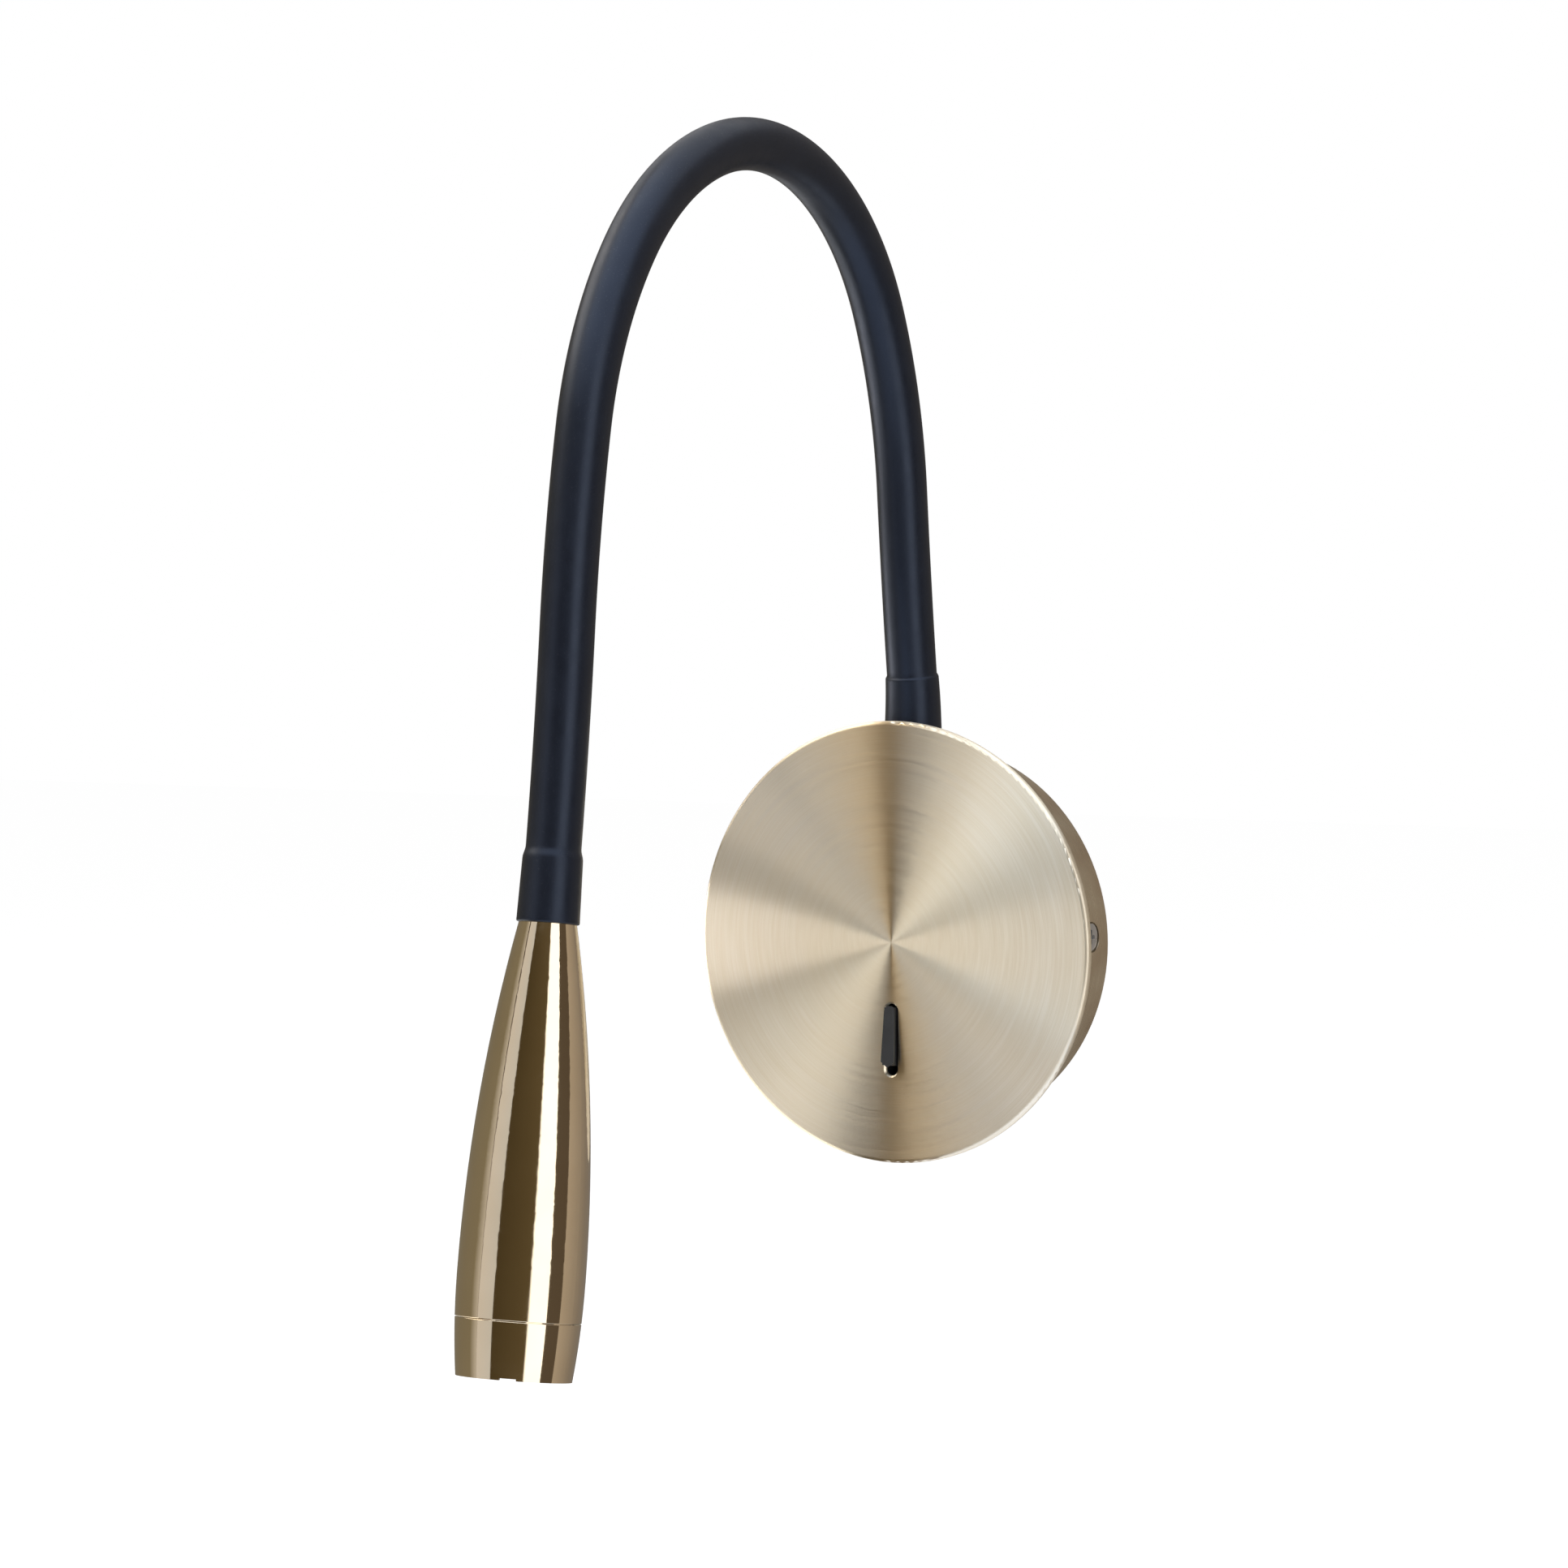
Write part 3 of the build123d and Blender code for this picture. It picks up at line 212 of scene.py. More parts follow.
def cloud(tree, place, scale, detail=2.0, roughness=0.5):
    made = add(tree, "TexNoise")
    for name, value in (("Vector", place), ("Scale", scale), ("Detail", detail), ("Roughness", roughness)):
        feed(tree, made.inputs[name], value)
    return made.outputs["Fac"]


def new_group(name, inputs, outputs):
    """A shader node group; inputs are (name, type, default) and outputs (name, type)."""
    tree = bpy.data.node_groups.new(name, "ShaderNodeTree")
    for label, kind, default in inputs:
        socket = tree.interface.new_socket(label, in_out="INPUT", socket_type="NodeSocket" + kind)
        socket.default_value = default
    for label, kind in outputs:
        tree.interface.new_socket(label, in_out="OUTPUT", socket_type="NodeSocket" + kind)
    return tree, tree.nodes.new("NodeGroupInput").outputs, tree.nodes.new("NodeGroupOutput").inputs


def place_group(tree, group, **values):
    made = add(tree, "Group", node_tree=group)
    for key, value in values.items():
        feed(tree, made.inputs[key.replace("_", " ")], value)
    return made.outputs


# --- Surface effects, each built once ---

def lathe_place_group():
    """Where a point lies on a turned piece: along its axis, out from it and round it."""
    tree, given, out = new_group(
        "lathe_place",
        (("Place", "Vector", (0, 0, 0)), ("Foot", "Vector", (0, 0, 0)), ("Axis", "Vector", (0, 0, 1))),
        (("Along", "Float"), ("Radius", "Float"), ("Around", "Vector")))
    offset = vector_calc(tree, "SUBTRACT", given["Place"], given["Foot"])
    along = vector_calc(tree, "DOT_PRODUCT", offset, given["Axis"], output=1)
    across = vector_calc(tree, "SUBTRACT", offset, vector_calc(tree, "SCALE", given["Axis"], along))
    feed(tree, out["Along"], along)
    feed(tree, out["Radius"], vector_calc(tree, "LENGTH", across, output=1))
    feed(tree, out["Around"], vector_calc(tree, "NORMALIZE", across))
    return tree


def turning_marks_group():
    """Fine lines left by turning or circular brushing; each runs only part of the way round."""
    tree, given, out = new_group(
        "turning_marks",
        (("Across", "Float", 0.0), ("Around", "Vector", (1, 0, 0)), ("Spacing", "Float", 0.0003),
         ("Breaks", "Float", 2.0)),
        (("Mask", "Float"), ("Height", "Float")))
    lines = calc(tree, "DIVIDE", given["Across"], given["Spacing"])
    turn = vector_calc(tree, "SCALE", given["Around"], given["Breaks"])
    shift = add(tree, "CombineXYZ")
    feed(tree, shift.inputs["X"], lines)
    fine = cloud(tree, vector_calc(tree, "ADD", turn, shift.outputs[0]), 1.0, 1.0, 0.7)
    broad_shift = vector_calc(tree, "SCALE", shift.outputs[0], 0.17)
    broad = cloud(tree, vector_calc(tree, "ADD", turn, broad_shift), 1.0, 2.0, 0.6)
    height = calc(tree, "ADD", calc(tree, "MULTIPLY", fine, 0.6), calc(tree, "MULTIPLY", broad, 0.4))
    feed(tree, out["Mask"], spread(tree, height, 0.38, 0.62))
    feed(tree, out["Height"], height)
    return tree


def soft_patches_group():
    """Slow, soft unevenness over a surface."""
    tree, given, out = new_group(
        "soft_patches",
        (("Place", "Vector", (0, 0, 0)), ("Size", "Float", 0.02),
         ("Low", "Float", 0.0), ("High", "Float", 1.0)),
        (("Value", "Float"),))
    scale = calc(tree, "DIVIDE", 1.0, given["Size"])
    noise = cloud(tree, given["Place"], scale, 3.0)
    made = add(tree, "MapRange")
    for socket, value in zip(made.inputs, (noise, 0.3, 0.7, given["Low"], given["High"])):
        feed(tree, socket, value)
    feed(tree, out["Value"], made.outputs[0])
    return tree


def fine_grain_group():
    """The even grain of moulded plastic, rubber and phosphor."""
    tree, given, out = new_group(
        "fine_grain",
        (("Place", "Vector", (0, 0, 0)), ("Size", "Float", 0.0002)),
        (("Mask", "Float"), ("Height", "Float")))
    scale = calc(tree, "DIVIDE", 1.0, given["Size"])
    grain = cloud(tree, given["Place"], scale, 2.0, 0.65)
    feed(tree, out["Mask"], spread(tree, grain, 0.35, 0.65))
    feed(tree, out["Height"], grain)
    return tree


def handling_marks_group():
    """Faint smears from wiping and handling."""
    tree, given, out = new_group(
        "handling_marks",
        (("Place", "Vector", (0, 0, 0)), ("Size", "Float", 0.01)),
        (("Smear", "Float"),))
    scale = calc(tree, "DIVIDE", 1.0, given["Size"])
    warp = add(tree, "TexNoise")
    feed(tree, warp.inputs["Vector"], given["Place"])
    feed(tree, warp.inputs["Scale"], scale)
    feed(tree, warp.inputs["Distortion"], 1.5)
    feed(tree, out["Smear"], spread(tree, warp.outputs["Fac"], 0.52, 0.70))
    return tree


def settled_dust_group():
    """Pale specks, thicker where a surface faces up."""
    tree, given, out = new_group(
        "settled_dust",
        (("Place", "Vector", (0, 0, 0)), ("Amount", "Float", 0.3)),
        (("Mask", "Float"),))
    specks = spread(tree, cloud(tree, given["Place"], 2600.0, 1.0), 0.66, 0.74)
    facing = add(tree, "SeparateXYZ")
    feed(tree, facing.inputs[0], add(tree, "NewGeometry").outputs["Normal"])
    up = spread(tree, facing.outputs["Z"], -0.3, 1.0, 0.15, 1.0)
    feed(tree, out["Mask"], calc(tree, "MULTIPLY", calc(tree, "MULTIPLY", specks, up), given["Amount"]))
    return tree


LATHE_PLACE = lathe_place_group()
TURNING_MARKS = turning_marks_group()
SOFT_PATCHES = soft_patches_group()
FINE_GRAIN = fine_grain_group()
HANDLING_MARKS = handling_marks_group()
SETTLED_DUST = settled_dust_group()


# --- Finishes ---

def new_finish(name, **constants):
    """A material and its tree, main shader and object coordinates; constants go on the shader."""
    material = bpy.data.materials.new(name)
    material.use_nodes = True
    tree = material.node_tree
    shader = tree.nodes["Principled BSDF"]
    for key, value in constants.items():
        feed(tree, shader.inputs[key.replace("_", " ")], value)
    return material, tree, shader, add(tree, "TexCoord").outputs["Object"]


def emboss(tree, shader, height, depth, strength):
    """Raises the surface by height; depth is in metres."""
    bump = add(tree, "Bump")
    feed(tree, bump.inputs["Strength"], strength)
    feed(tree, bump.inputs["Distance"], depth)
    feed(tree, bump.inputs["Height"], height)
    feed(tree, shader.inputs["Normal"], bump.outputs["Normal"])


def brushed_plate():
    """Satin champagne brass, brushed in circles about the plate's middle, with painted light: its colour
    brightens towards the rim.
    """
    material, tree, shader, place = new_finish(
        "plate_brass", Metallic=1.0, Anisotropic=1.0, Anisotropic_Rotation=0.25)
    round_axis = add(tree, "Tangent", direction_type="RADIAL", axis="Y")
    feed(tree, shader.inputs["Tangent"], round_axis.outputs[0])
    lathe = place_group(tree, LATHE_PLACE, Place=place, Axis=(0.0, 1.0, 0.0))
    marks = place_group(tree, TURNING_MARKS, Across=lathe["Radius"], Around=lathe["Around"],
                        Spacing=0.22 * MM, Breaks=2.2)
    patches = place_group(tree, SOFT_PATCHES, Place=place, Size=25 * MM, Low=0.0, High=1.0)
    arcs = place_group(tree, TURNING_MARKS, Across=lathe["Radius"], Around=lathe["Around"],
                       Spacing=1.5 * MM, Breaks=1.2)
    deep = (0.80, 0.70, 0.51)
    # Painted light: the base colour grows paler towards the rim. This stands in for the brighter
    # reflections on the plate's outer part.
    painted_rim_light = spread(tree, lathe["Radius"], 8 * MM, 58 * MM)
    pale = tint(tree, painted_rim_light, (0.88, 0.77, 0.59), (0.97, 0.88, 0.73))
    colour = tint(tree, calc(tree, "MULTIPLY", marks["Mask"], 0.45), pale, deep)
    colour = tint(tree, calc(tree, "MULTIPLY", arcs["Mask"], 0.25), colour, (0.76, 0.62, 0.42))
    colour = tint(tree, calc(tree, "MULTIPLY", patches["Value"], 0.20), colour, deep)
    feed(tree, shader.inputs["Base Color"], colour)
    rough = raised(tree, 0.29, marks["Mask"], 0.05)
    feed(tree, shader.inputs["Roughness"], raised(tree, rough, arcs["Mask"], 0.02))
    emboss(tree, shader, marks["Height"], 0.02 * MM, 0.12)
    return material


def brushed_drum():
    """Satin brown brass with fine lines round the drum."""
    material, tree, shader, place = new_finish("drum_brass", Metallic=1.0)
    lathe = place_group(tree, LATHE_PLACE, Place=place, Axis=(0.0, 1.0, 0.0))
    marks = place_group(tree, TURNING_MARKS, Across=lathe["Along"], Around=lathe["Around"],
                        Spacing=0.25 * MM, Breaks=3.0)
    patches = place_group(tree, SOFT_PATCHES, Place=place, Size=14 * MM, Low=0.0, High=1.0)
    colour = tint(tree, marks["Mask"], (0.80, 0.71, 0.54), (0.69, 0.60, 0.45))
    feed(tree, shader.inputs["Base Color"], tint(tree, patches["Value"], colour, (0.60, 0.48, 0.34)))
    feed(tree, shader.inputs["Roughness"], raised(tree, 0.27, marks["Mask"], 0.08))
    emboss(tree, shader, marks["Height"], 0.02 * MM, 0.25)
    return material


def polished_head():
    """Polished antique brass under clear lacquer, with the last faint turning marks."""
    material, tree, shader, place = new_finish(
        "head_brass", Metallic=1.0, Coat_Roughness=0.04, Coat_Weight=0.15)
    lathe = place_group(tree, LATHE_PLACE, Place=place, Foot=tuple(head_top), Axis=tuple(head_axis))
    marks = place_group(tree, TURNING_MARKS, Across=lathe["Along"], Around=lathe["Around"],
                        Spacing=0.35 * MM, Breaks=1.4)
    patches = place_group(tree, SOFT_PATCHES, Place=place, Size=18 * MM, Low=0.0, High=1.0)
    wear = place_group(tree, HANDLING_MARKS, Place=place, Size=12 * MM)
    colour = tint(tree, patches["Value"], (0.80, 0.67, 0.49), (0.75, 0.62, 0.44))
    feed(tree, shader.inputs["Base Color"], colour)
    rough = raised(tree, 0.055, wear["Smear"], 0.03)
    feed(tree, shader.inputs["Roughness"], raised(tree, rough, marks["Mask"], 0.015))
    emboss(tree, shader, marks["Height"], 0.004 * MM, 0.12)
    return material


def silicone_sleeve():
    """Blue-black silicone rubber with a soft satin skin, and a painted bluish tint on its reflections."""
    # Painted light: the bluish specular tint stands in for the cool light seen in the sleeve's highlights.
    material, tree, shader, place = new_finish(
        "black_sleeve", Specular_IOR_Level=0.47, Specular_Tint=(0.62, 0.74, 1.0))
    grain = place_group(tree, FINE_GRAIN, Place=place, Size=0.35 * MM)
    patches = place_group(tree, SOFT_PATCHES, Place=place, Size=9 * MM, Low=0.0, High=1.0)
    dust = place_group(tree, SETTLED_DUST, Place=place, Amount=0.12)
    colour = tint(tree, patches["Value"], (0.0042, 0.0052, 0.0100), (0.0056, 0.0070, 0.0125))
    feed(tree, shader.inputs["Base Color"], tint(tree, dust["Mask"], colour, (0.20, 0.20, 0.20)))
    rough = place_group(tree, SOFT_PATCHES, Place=place, Size=4 * MM, Low=0.36, High=0.43)
    feed(tree, shader.inputs["Roughness"], rough["Value"])
    emboss(tree, shader, grain["Height"], 0.05 * MM, 0.10)
    return material


def moulded(name, light, dark, rough):
    """Moulded plastic: two near tones, an even grain and slightly uneven gloss."""
    material, tree, shader, place = new_finish(name)
    grain = place_group(tree, FINE_GRAIN, Place=place, Size=0.18 * MM)
    patches = place_group(tree, SOFT_PATCHES, Place=place, Size=5 * MM, Low=0.0, High=1.0)
    feed(tree, shader.inputs["Base Color"], tint(tree, patches["Value"], light, dark))
    feed(tree, shader.inputs["Roughness"], raised(tree, rough, grain["Mask"], 0.08))
    emboss(tree, shader, grain["Height"], 0.03 * MM, 0.2)
    return material


def plated(name, light, dark, rough, spacing=0.3 * MM, axis=(0.0, 1.0, 0.0)):
    """Plated or bare metal with turning or rolling lines."""
    material, tree, shader, place = new_finish(name, Metallic=1.0)
    lathe = place_group(tree, LATHE_PLACE, Place=place, Axis=axis)
    marks = place_group(tree, TURNING_MARKS, Across=lathe["Along"], Around=lathe["Around"],
                        Spacing=spacing, Breaks=2.0)
    patches = place_group(tree, SOFT_PATCHES, Place=place, Size=6 * MM, Low=0.0, High=1.0)
    feed(tree, shader.inputs["Base Color"], tint(tree, patches["Value"], light, dark))
    feed(tree, shader.inputs["Roughness"], raised(tree, rough, marks["Mask"], 0.1))
    emboss(tree, shader, marks["Height"], 0.02 * MM, 0.2)
    return material


def striped_earth_wire():
    """Green insulation with a yellow stripe along each side."""
    material, tree, shader, place = new_finish("earth_wire")
    grain = place_group(tree, FINE_GRAIN, Place=place, Size=0.3 * MM)
    parts = add(tree, "SeparateXYZ")
    feed(tree, parts.inputs[0], add(tree, "NewGeometry").outputs["Normal"])
    stripe = spread(tree, calc(tree, "ABSOLUTE", parts.outputs["X"]), 0.55, 0.60)
    feed(tree, shader.inputs["Base Color"], tint(tree, stripe, (0.05, 0.32, 0.06), (0.80, 0.66, 0.04)))
    feed(tree, shader.inputs["Roughness"], raised(tree, 0.38, grain["Mask"], 0.08))
    emboss(tree, shader, grain["Height"], 0.02 * MM, 0.1)
    return material


def clear(name, colour, rough):
    """Clear glass or moulded optic, with faint wipe marks."""
    material, tree, shader, place = new_finish(name, Metallic=0.0, Transmission_Weight=1.0, IOR=1.49)
    wear = place_group(tree, HANDLING_MARKS, Place=place, Size=8 * MM)
    feed(tree, shader.inputs["Base Color"], colour)
    feed(tree, shader.inputs["Roughness"], raised(tree, rough, wear["Smear"], 0.03))
    return material


def phosphor():
    """The yellow phosphor of the light source, in fine grains."""
    material, tree, shader, place = new_finish("led_yellow")
    grain = place_group(tree, FINE_GRAIN, Place=place, Size=0.25 * MM)
    colour = tint(tree, grain["Mask"], (0.86, 0.70, 0.12), (0.93, 0.80, 0.25))
    feed(tree, shader.inputs["Base Color"], colour)
    feed(tree, shader.inputs["Roughness"], raised(tree, 0.4, grain["Mask"], 0.2))
    emboss(tree, shader, grain["Height"], 0.03 * MM, 0.3)
    return material


# --- Meshes swept along the arm ---

arm_turns = [(ROOT_STRAIGHT, 0.0), (ROOT_BEND_L, ROOT_BEND)]
arm_turns += [(STRETCH_L, turn) for turn in STRETCH_TURNS] + [(TIP_L, 0.0)]
arm_start = ROOT_STRAIGHT + ROOT_BEND_L
arm_end = sum(length for length, turn in arm_turns)
stretch_ends = [arm_start + STRETCH_L * i for i in range(STRETCHES + 1)]


def arm_at(s):
    """The point and the direction of the arm's line at distance s from the drum."""
    y, z, lean = ROOT_Y, DRUM_R, 0.0
    for length, turn in arm_turns:
        part = min(s, length)
        h = math.radians(lean)
        swing = math.radians(turn * part / length)
        if abs(swing) < 1e-9:
            y -= part * math.sin(h)
            z += part * math.cos(h)
        else:
            radius = part / swing
            y += radius * (math.cos(h + swing) - math.cos(h))
            z += radius * (math.sin(h + swing) - math.sin(h))
        lean += math.degrees(swing)
        s -= part
        if s <= 1e-9:
            break
    h = math.radians(lean)
    return Vector((0.0, y, z)), Vector((0.0, -math.sin(h), math.cos(h)))


head_top, head_axis = arm_at(arm_end)


def smooth(t):
    t = min(max(t, 0.0), 1.0)
    return t * t * (3 - 2 * t)


def mix(a, b, t):
    return a + (b - a) * t


def sleeve_r(s):
    """Outside of the sleeve: wider over the root fitting and over the head's ferrule."""
    if s < ROOT_SLEEVE_L:
        return mix(ROOT_SLEEVE_R, ROOT_SLEEVE_TOP_R, s / ROOT_SLEEVE_L)
    if s < ROOT_SLEEVE_L + SLEEVE_STEP:
        return mix(ROOT_SLEEVE_TOP_R, SLEEVE_R, smooth((s - ROOT_SLEEVE_L) / SLEEVE_STEP))
    flare = arm_end - TIP_SLEEVE_L
    if s < flare - TIP_STEP:
        return SLEEVE_R
    if s < flare:
        return mix(SLEEVE_R, TIP_SLEEVE_TOP_R, smooth((s - flare + TIP_STEP) / TIP_STEP))
    return mix(TIP_SLEEVE_TOP_R, TIP_SLEEVE_R, (s - flare) / TIP_SLEEVE_L)


def sleeve_bore_r(s):
    return CUP_BORE_R if s < CUP_L or s > arm_end - CUP_L else SLEEVE_R - SLEEVE_WALL


def ring_places(s0, s1, extra=()):
    """Distances from s0 to s1 for the rings of a tube, with some extra ones kept."""
    count = max(2, round((s1 - s0) / RING_STEP))
    even = [mix(s0, s1, i / count) for i in range(count + 1)]
    near = 0.2 * RING_STEP
    kept = [s for s in extra if s0 < s < s1]
    inner = [s for s in even[1:-1] if all(abs(s - e) > near for e in kept)]
    return sorted([s0] + inner + kept + [s1])


def ring_points(place, axis, radius, sides):
    """Points of a circle about the arm's line, the first towards +X."""
    side = Vector((1.0, 0.0, 0.0))
    up = axis.cross(side)
    points = []
    for k in range(sides):
        a = 2 * math.pi * k / sides
        points.append(place + radius * (math.cos(a) * side + math.sin(a) * up))
    return points


def skin(mesh_name, rings, sides, closed_loop, sharp_rings):
    """A mesh through rings of points; closed_loop joins the last ring to the first."""
    bm = bmesh.new()
    rows = [[bm.verts.new(p) for p in ring] for ring in rings]
    pairs = list(zip(rows, rows[1:])) + ([(rows[-1], rows[0])] if closed_loop else [])
    for lower, upper in pairs:
        for k in range(sides):
            n = (k + 1) % sides
            bm.faces.new((lower[k], lower[n], upper[n], upper[k]))
    if not closed_loop:
        bm.faces.new(rows[0][::-1])
        bm.faces.new(rows[-1])
    for face in bm.faces:
        face.smooth = True
    for row in (rows[i] for i in sharp_rings):
        for k in range(sides):
            bm.edges.get((row[k], row[(k + 1) % sides])).smooth = False
    bmesh.ops.recalc_face_normals(bm, faces=bm.faces)
    mesh = bpy.data.meshes.new(mesh_name)
    bm.to_mesh(mesh)
    bm.free()
    return mesh


def tube_profile(i):
    """The (distance, radius) loop of sleeve stretch i: out along its skin and back along its bore."""
    s0 = SLEEVE_FOOT if i == 0 else stretch_ends[i]
    s1 = arm_end if i == STRETCHES - 1 else stretch_ends[i + 1]
    flare = arm_end - TIP_SLEEVE_L
    steps = [ROOT_SLEEVE_L + SLEEVE_STEP * k / ROOT_RINGS for k in range(ROOT_RINGS + 1)]
    steps += [flare - TIP_STEP + TIP_STEP * k / TIP_RINGS for k in range(TIP_RINGS + 1)]
    outer = [(s, sleeve_r(s)) for s in ring_places(s0, s1, steps)]
    if i == 0:
        outer = rounded_end(outer, s0, 1) + [p for p in outer if p[0] > s0 + SLEEVE_LIP_R]
    if i == STRETCHES - 1:
        outer = [p for p in outer if p[0] < s1 - SLEEVE_LIP_R] + rounded_end(outer, s1, -1)[::-1]
    steps = [cup_end + side for cup_end in (CUP_L, arm_end - CUP_L) for side in (-BORE_STEP, BORE_STEP)]
    inner = [(s, sleeve_bore_r(s)) for s in ring_places(s0, s1, steps)]
    return outer, inner[::-1]


def rounded_end(outer, end, inwards):
    """Quarter-round lip of a cut sleeve end."""
    full = sleeve_r(end)
    lip = []
    for k in range(LIP_STEPS + 1):
        a = math.pi / 2 * k / LIP_STEPS
        s = end + inwards * SLEEVE_LIP_R * (1 - math.cos(a))
        lip.append((s, full - SLEEVE_LIP_R * (1 - math.sin(a))))
    return lip


def sleeve_stretch(i):
    """Stretch i of the silicone sleeve, a curved tube along the arm's line between the two bodies it
    joins.
    """
    outer, inner = tube_profile(i)
    rings = []
    for s, radius in outer + inner:
        place, axis = arm_at(s)
        rings.append(ring_points(place, axis, radius, RING_SIDES))
    turn = len(outer) - 1
    last = len(rings) - 1
    sharp = (0, turn, turn + 1, last)
    mesh = skin(f"sleeve_{i + 1}", rings, RING_SIDES, True, sharp)
    return new_object(f"silicone_sleeve_{i + 1}", mesh)


def cable_stretch(i):
    """Stretch i of the cable inside the gooseneck."""
    s0, s1 = stretch_ends[i], stretch_ends[i + 1]
    rings = []
    if i == 0:
        s0 = 0.0
        up = Vector((0, 0, 1))
        for z in (CABLE_FOOT_Z, (CABLE_FOOT_Z + DRUM_R) / 2):
            rings.append(ring_points(Vector((0, ROOT_Y, z)), up, CABLE_R, CABLE_SIDES))
    if i == STRETCHES - 1:
        s1 = arm_end
    for s in ring_places(s0, s1):
        place, axis = arm_at(s)
        rings.append(ring_points(place, axis, CABLE_R, CABLE_SIDES))
    if i == STRETCHES - 1:
        inside = head_top + head_axis * CABLE_IN_HEAD
        rings.append(ring_points(inside, head_axis, CABLE_R, CABLE_SIDES))
    mesh = skin(f"cable_{i + 1}", rings, CABLE_SIDES, False, (0, len(rings) - 1))
    return new_object(f"arm_cable_{i + 1}", mesh)


def dress_arm(sleeve_finish, cable_finish):
    """Puts the soft sleeve and cable in place of their rigid stretches."""
    for i in range(STRETCHES):
        start, end = arm_at(stretch_ends[i])[0], arm_at(stretch_ends[i + 1])[0]
        for piece, node, finish, slot in (
                (sleeve_stretch(i), f"sleeve_{i + 1}", sleeve_finish, "black_sleeve"),
                (cable_stretch(i), f"lamp_cable_{i + 1}", cable_finish, "grey_cable")):
            piece.data.materials.append(finish)
            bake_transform(piece)
            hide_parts(node)


# --- Finishes of the carried-over pieces ---

def dress_nodes(finishes):
    """Gives each carried-over piece its finish."""
    for name, finish in finishes.items():
        mesh = nodes[name].data
        mesh.materials.clear()
        mesh.materials.append(finish)
        for face in mesh.polygons:
            face.material_index = 0


# --- Studio ---

def add_camera():
    data = bpy.data.cameras.new("camera")
    data.lens = CAMERA_LENS
    data.sensor_width = CAMERA_SENSOR
    camera = bpy.data.objects.new("camera", data)
    bpy.context.scene.collection.objects.link(camera)
    back = heading(CAMERA_AZIMUTH, CAMERA_ELEVATION)
    camera.location = Vector(CAMERA_AIM) + back * CAMERA_DISTANCE
    camera.rotation_mode = "QUATERNION"
    camera.rotation_quaternion = (-back).to_track_quat("-Z", "Y")
    bpy.context.scene.camera = camera


def add_floor():
    """A pale floor, white to the camera where no shadow falls, and open from below."""
    bm = bmesh.new()
    bmesh.ops.create_grid(bm, x_segments=8, y_segments=8, size=FLOOR_HALF)
    mesh = bpy.data.meshes.new("floor")
    bm.to_mesh(mesh)
    bm.free()
    floor = new_object("floor", mesh)
    floor.location.z = FLOOR_Z
    material = bpy.data.materials.new("floor")
    material.use_nodes = True
    tree = material.node_tree
    shader = tree.nodes["Principled BSDF"]
    feed(tree, shader.inputs["Base Color"], (FLOOR_GREY, FLOOR_GREY, FLOOR_GREY))
    feed(tree, shader.inputs["Roughness"], 0.9)
    feed(tree, shader.inputs["Specular IOR Level"], 0.0)
    feed(tree, shader.inputs["Emission Color"], (1.0, 1.0, 1.0))
    path = add(tree, "LightPath")
    glow = calc(tree, "MULTIPLY", path.outputs["Is Camera Ray"], FLOOR_GLOW)
    feed(tree, shader.inputs["Emission Strength"], glow)
    gone = add(tree, "BsdfTransparent")
    choose = add(tree, "MixShader")
    feed(tree, choose.inputs[0], add(tree, "NewGeometry").outputs["Backfacing"])
    feed(tree, choose.inputs[1], shader.outputs[0])
    feed(tree, choose.inputs[2], gone.outputs[0])
    feed(tree, tree.nodes["Material Output"].inputs["Surface"], choose.outputs[0])
    mesh.materials.append(material)
    floor.visible_glossy = False


def card_place(kind, first, second):
    """A direction by azimuth and elevation, or by the angle from -X and the turn about X."""
    if kind == "round":
        return heading(first, second)
    a, turn = math.radians(first), math.radians(second)
    return Vector((-math.cos(a), -math.sin(a) * math.cos(turn), math.sin(a) * math.sin(turn)))


def add_card(name, kind, middle, radius, first, second, near_colour, far_colour):
    """A curved card that only shows in reflections."""
    columns = max(2, math.ceil(abs(first[1] - first[0]) / CARD_STEP))
    rows = max(2, math.ceil(abs(second[1] - second[0]) / CARD_STEP))
    bm = bmesh.new()
    glow = bm.verts.layers.float_color.new("glow")
    grid = []
    for i in range(columns + 1):
        t = i / columns
        column = []
        for j in range(rows + 1):
            direction = card_place(kind, mix(*first, t), mix(*second, j / rows))
            vert = bm.verts.new(Vector(middle) + direction * radius)
            vert[glow] = (*(mix(a, b, t) for a, b in zip(near_colour, far_colour)), 1.0)
            column.append(vert)
        grid.append(column)
    for a, b in zip(grid, grid[1:]):
        for j in range(rows):
            face = bm.faces.new((a[j], b[j], b[j + 1], a[j + 1]))
            face.normal_update()
            if face.normal.dot(Vector(middle) - face.calc_center_median()) < 0:
                face.normal_flip()
    mesh = bpy.data.meshes.new(name)
    bm.to_mesh(mesh)
    bm.free()
    show_in_reflections_only(new_object(name, mesh))


def show_in_reflections_only(card):
    """Gives a card its light, on its front alone, and keeps it from everything but reflections."""
    for ray in ("camera", "diffuse", "transmission", "volume_scatter", "shadow"):
        setattr(card, "visible_" + ray, False)
    material = bpy.data.materials.new(card.name)
    material.use_nodes = True
    tree = material.node_tree
    tree.nodes.remove(tree.nodes["Principled BSDF"])
    light = add(tree, "Emission")
    feed(tree, light.inputs["Color"], add(tree, "Attribute", attribute_name="glow").outputs["Color"])
    choose = add(tree, "MixShader")
    feed(tree, choose.inputs[0], add(tree, "NewGeometry").outputs["Backfacing"])
    feed(tree, choose.inputs[1], light.outputs[0])
    feed(tree, choose.inputs[2], add(tree, "BsdfTransparent").outputs[0])
    feed(tree, tree.nodes["Material Output"].inputs["Surface"], choose.outputs[0])
    card.data.materials.append(material)


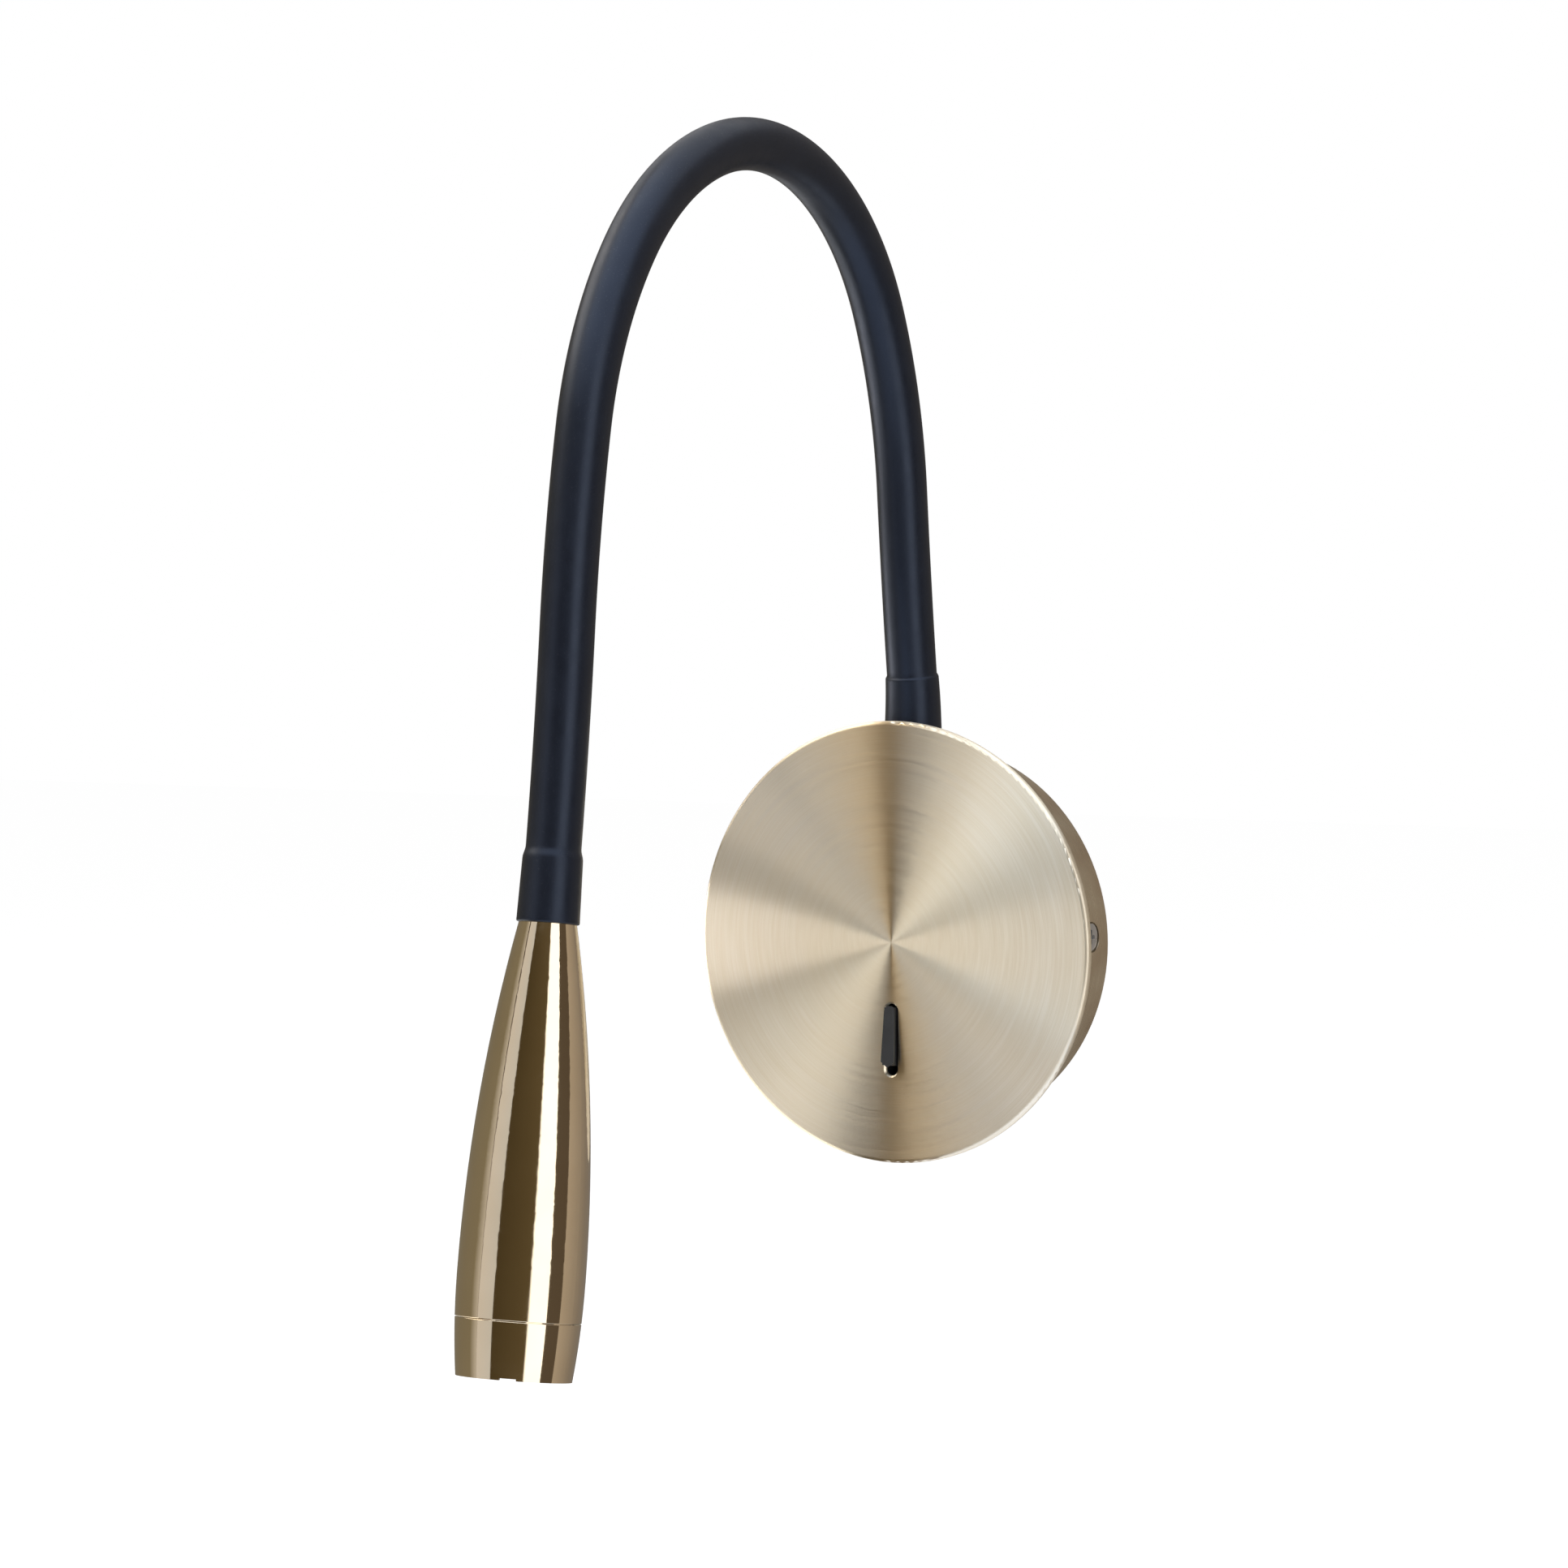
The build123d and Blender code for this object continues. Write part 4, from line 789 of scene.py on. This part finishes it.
def add_flat_card(name, y, first_end, second_end, colour):
    """A flat card that faces the wall and only shows in reflections; its places are in millimetres."""
    bm = bmesh.new()
    glow = bm.verts.layers.float_color.new("glow")
    corners = []
    for (x, heights), order in ((first_end, (0, 1)), (second_end, (1, 0))):
        for k in order:
            vert = bm.verts.new((x * MM, y * MM, heights[k] * MM))
            vert[glow] = (*colour, 1.0)
            corners.append(vert)
    face = bm.faces.new(corners)
    face.normal_update()
    if face.normal.y < 0:
        face.normal_flip()
    mesh = bpy.data.meshes.new(name)
    bm.to_mesh(mesh)
    bm.free()
    show_in_reflections_only(new_object(name, mesh))


def add_world():
    """White to the camera and in glass and metal; an even soft light on matt surfaces."""
    world = bpy.data.worlds.new("studio")
    bpy.context.scene.world = world
    world.use_nodes = True
    tree = world.node_tree
    back = tree.nodes["Background"]
    feed(tree, back.inputs["Color"], (1.0, 1.0, 1.0))
    path = add(tree, "LightPath")
    seen = calc(tree, "MAXIMUM", path.outputs["Is Camera Ray"], path.outputs["Is Transmission Ray"])
    seen = calc(tree, "MAXIMUM", seen, path.outputs["Is Glossy Ray"])
    feed(tree, back.inputs["Strength"], calc(tree, "MAXIMUM", seen, WORLD_LIGHT))


def add_lamp(name, azimuth, elevation, power, colour):
    """A round lamp, aimed at the wall unit, that reflections and the camera don't see."""
    data = bpy.data.lights.new(name, "AREA")
    data.shape = "DISK"
    data.size = LAMP_SIZE
    data.energy = power
    data.color = colour
    lamp = bpy.data.objects.new(name, data)
    bpy.context.scene.collection.objects.link(lamp)
    direction = heading(azimuth, elevation)
    lamp.location = direction * LAMP_DISTANCE
    lamp.rotation_mode = "QUATERNION"
    lamp.rotation_quaternion = (-direction).to_track_quat("-Z", "Y")
    lamp.visible_glossy = False
    lamp.visible_camera = False


def add_studio():
    add_world()
    add_floor()
    for card in CARDS:
        add_card(*card)
    for card in FLAT_CARDS:
        add_flat_card(*card)
    for lamp in LAMPS:
        add_lamp(*lamp)


# --- Build ---

def main():
    plate = brushed_plate()
    drum = brushed_drum()
    head = polished_head()
    sleeve = silicone_sleeve()
    switch = moulded("black_switch", (0.022, 0.023, 0.025), (0.016, 0.017, 0.018), 0.34)
    zinc_sheet = plated("zinc_steel", (0.66, 0.67, 0.68), (0.56, 0.57, 0.59), 0.30)
    zinc_turned = plated("zinc_screws", (0.74, 0.75, 0.76), (0.62, 0.63, 0.65), 0.22,
                         0.2 * MM, (1.0, 0.0, 0.0))
    spring = plated("spring_steel", (0.46, 0.47, 0.49), (0.36, 0.37, 0.39), 0.32)
    fitting = plated("fitting_brass", (0.78, 0.62, 0.34), (0.68, 0.52, 0.27), 0.26,
                     0.25 * MM, (0.0, 0.0, 1.0))
    black = moulded("black_plastic", (0.035, 0.036, 0.038), (0.025, 0.026, 0.028), 0.42)
    white = moulded("white_plastic", (0.84, 0.84, 0.82), (0.78, 0.78, 0.76), 0.36)
    nylon = moulded("natural_nylon", (0.80, 0.77, 0.68), (0.74, 0.70, 0.60), 0.40)
    cable = moulded("grey_cable", (0.16, 0.16, 0.17), (0.12, 0.12, 0.13), 0.45)
    brown = moulded("brown_wire", (0.16, 0.06, 0.025), (0.12, 0.045, 0.02), 0.36)
    blue = moulded("blue_wire", (0.03, 0.09, 0.42), (0.02, 0.07, 0.34), 0.36)
    red = moulded("red_wire", (0.52, 0.03, 0.025), (0.42, 0.02, 0.02), 0.36)
    sink = plated("sink_aluminium", (0.86, 0.87, 0.88), (0.78, 0.79, 0.80), 0.28,
                  0.25 * MM, tuple(head_axis))
    board = moulded("board_white", (0.86, 0.86, 0.84), (0.80, 0.80, 0.79), 0.30)
    seal = moulded("seal_rubber", (0.030, 0.030, 0.031), (0.022, 0.022, 0.023), 0.55)
    finishes = {
        "front_plate": plate, "rear_housing": drum, "head_shell": head, "retaining_ring": head,
        "switch_lever": switch, "wall_bracket": zinc_sheet, "earth_lead": striped_earth_wire(),
        "live_leads": brown, "neutral_lead": blue, "lamp_leads": red, "head_leads": red,
        "switch_body": black, "lens_holder": black, "cord_grip_base": black, "cord_grip_cap": black,
        "led_driver": white, "terminal_block": nylon, "heat_sink": sink, "led_board": board,
        "led_emitter": phosphor(), "collimator_lens": clear("clear_lens", (0.97, 0.98, 0.98), 0.02),
        "front_glass": clear("clear_glass", (0.95, 0.98, 0.97), 0.01), "o_ring": seal,
    }
    for name in ("lock_screws", "bracket_earth_screw", "plate_nuts", "cord_grip_screws", "terminal_screws",
                 "switch_pivot_pin", "root_washer"):
        finishes[name] = zinc_turned
    for name in ("root_fitting", "root_locknut", "head_ferrule", "switch_blades", "earth_tag"):
        finishes[name] = fitting
    for name in nodes:
        if name.startswith("gooseneck"):
            finishes[name] = spring
    dress_nodes(finishes)
    dress_arm(sleeve, cable)
    add_studio()
    add_camera()
    bpy.context.scene.view_settings.view_transform = "Standard"


main()
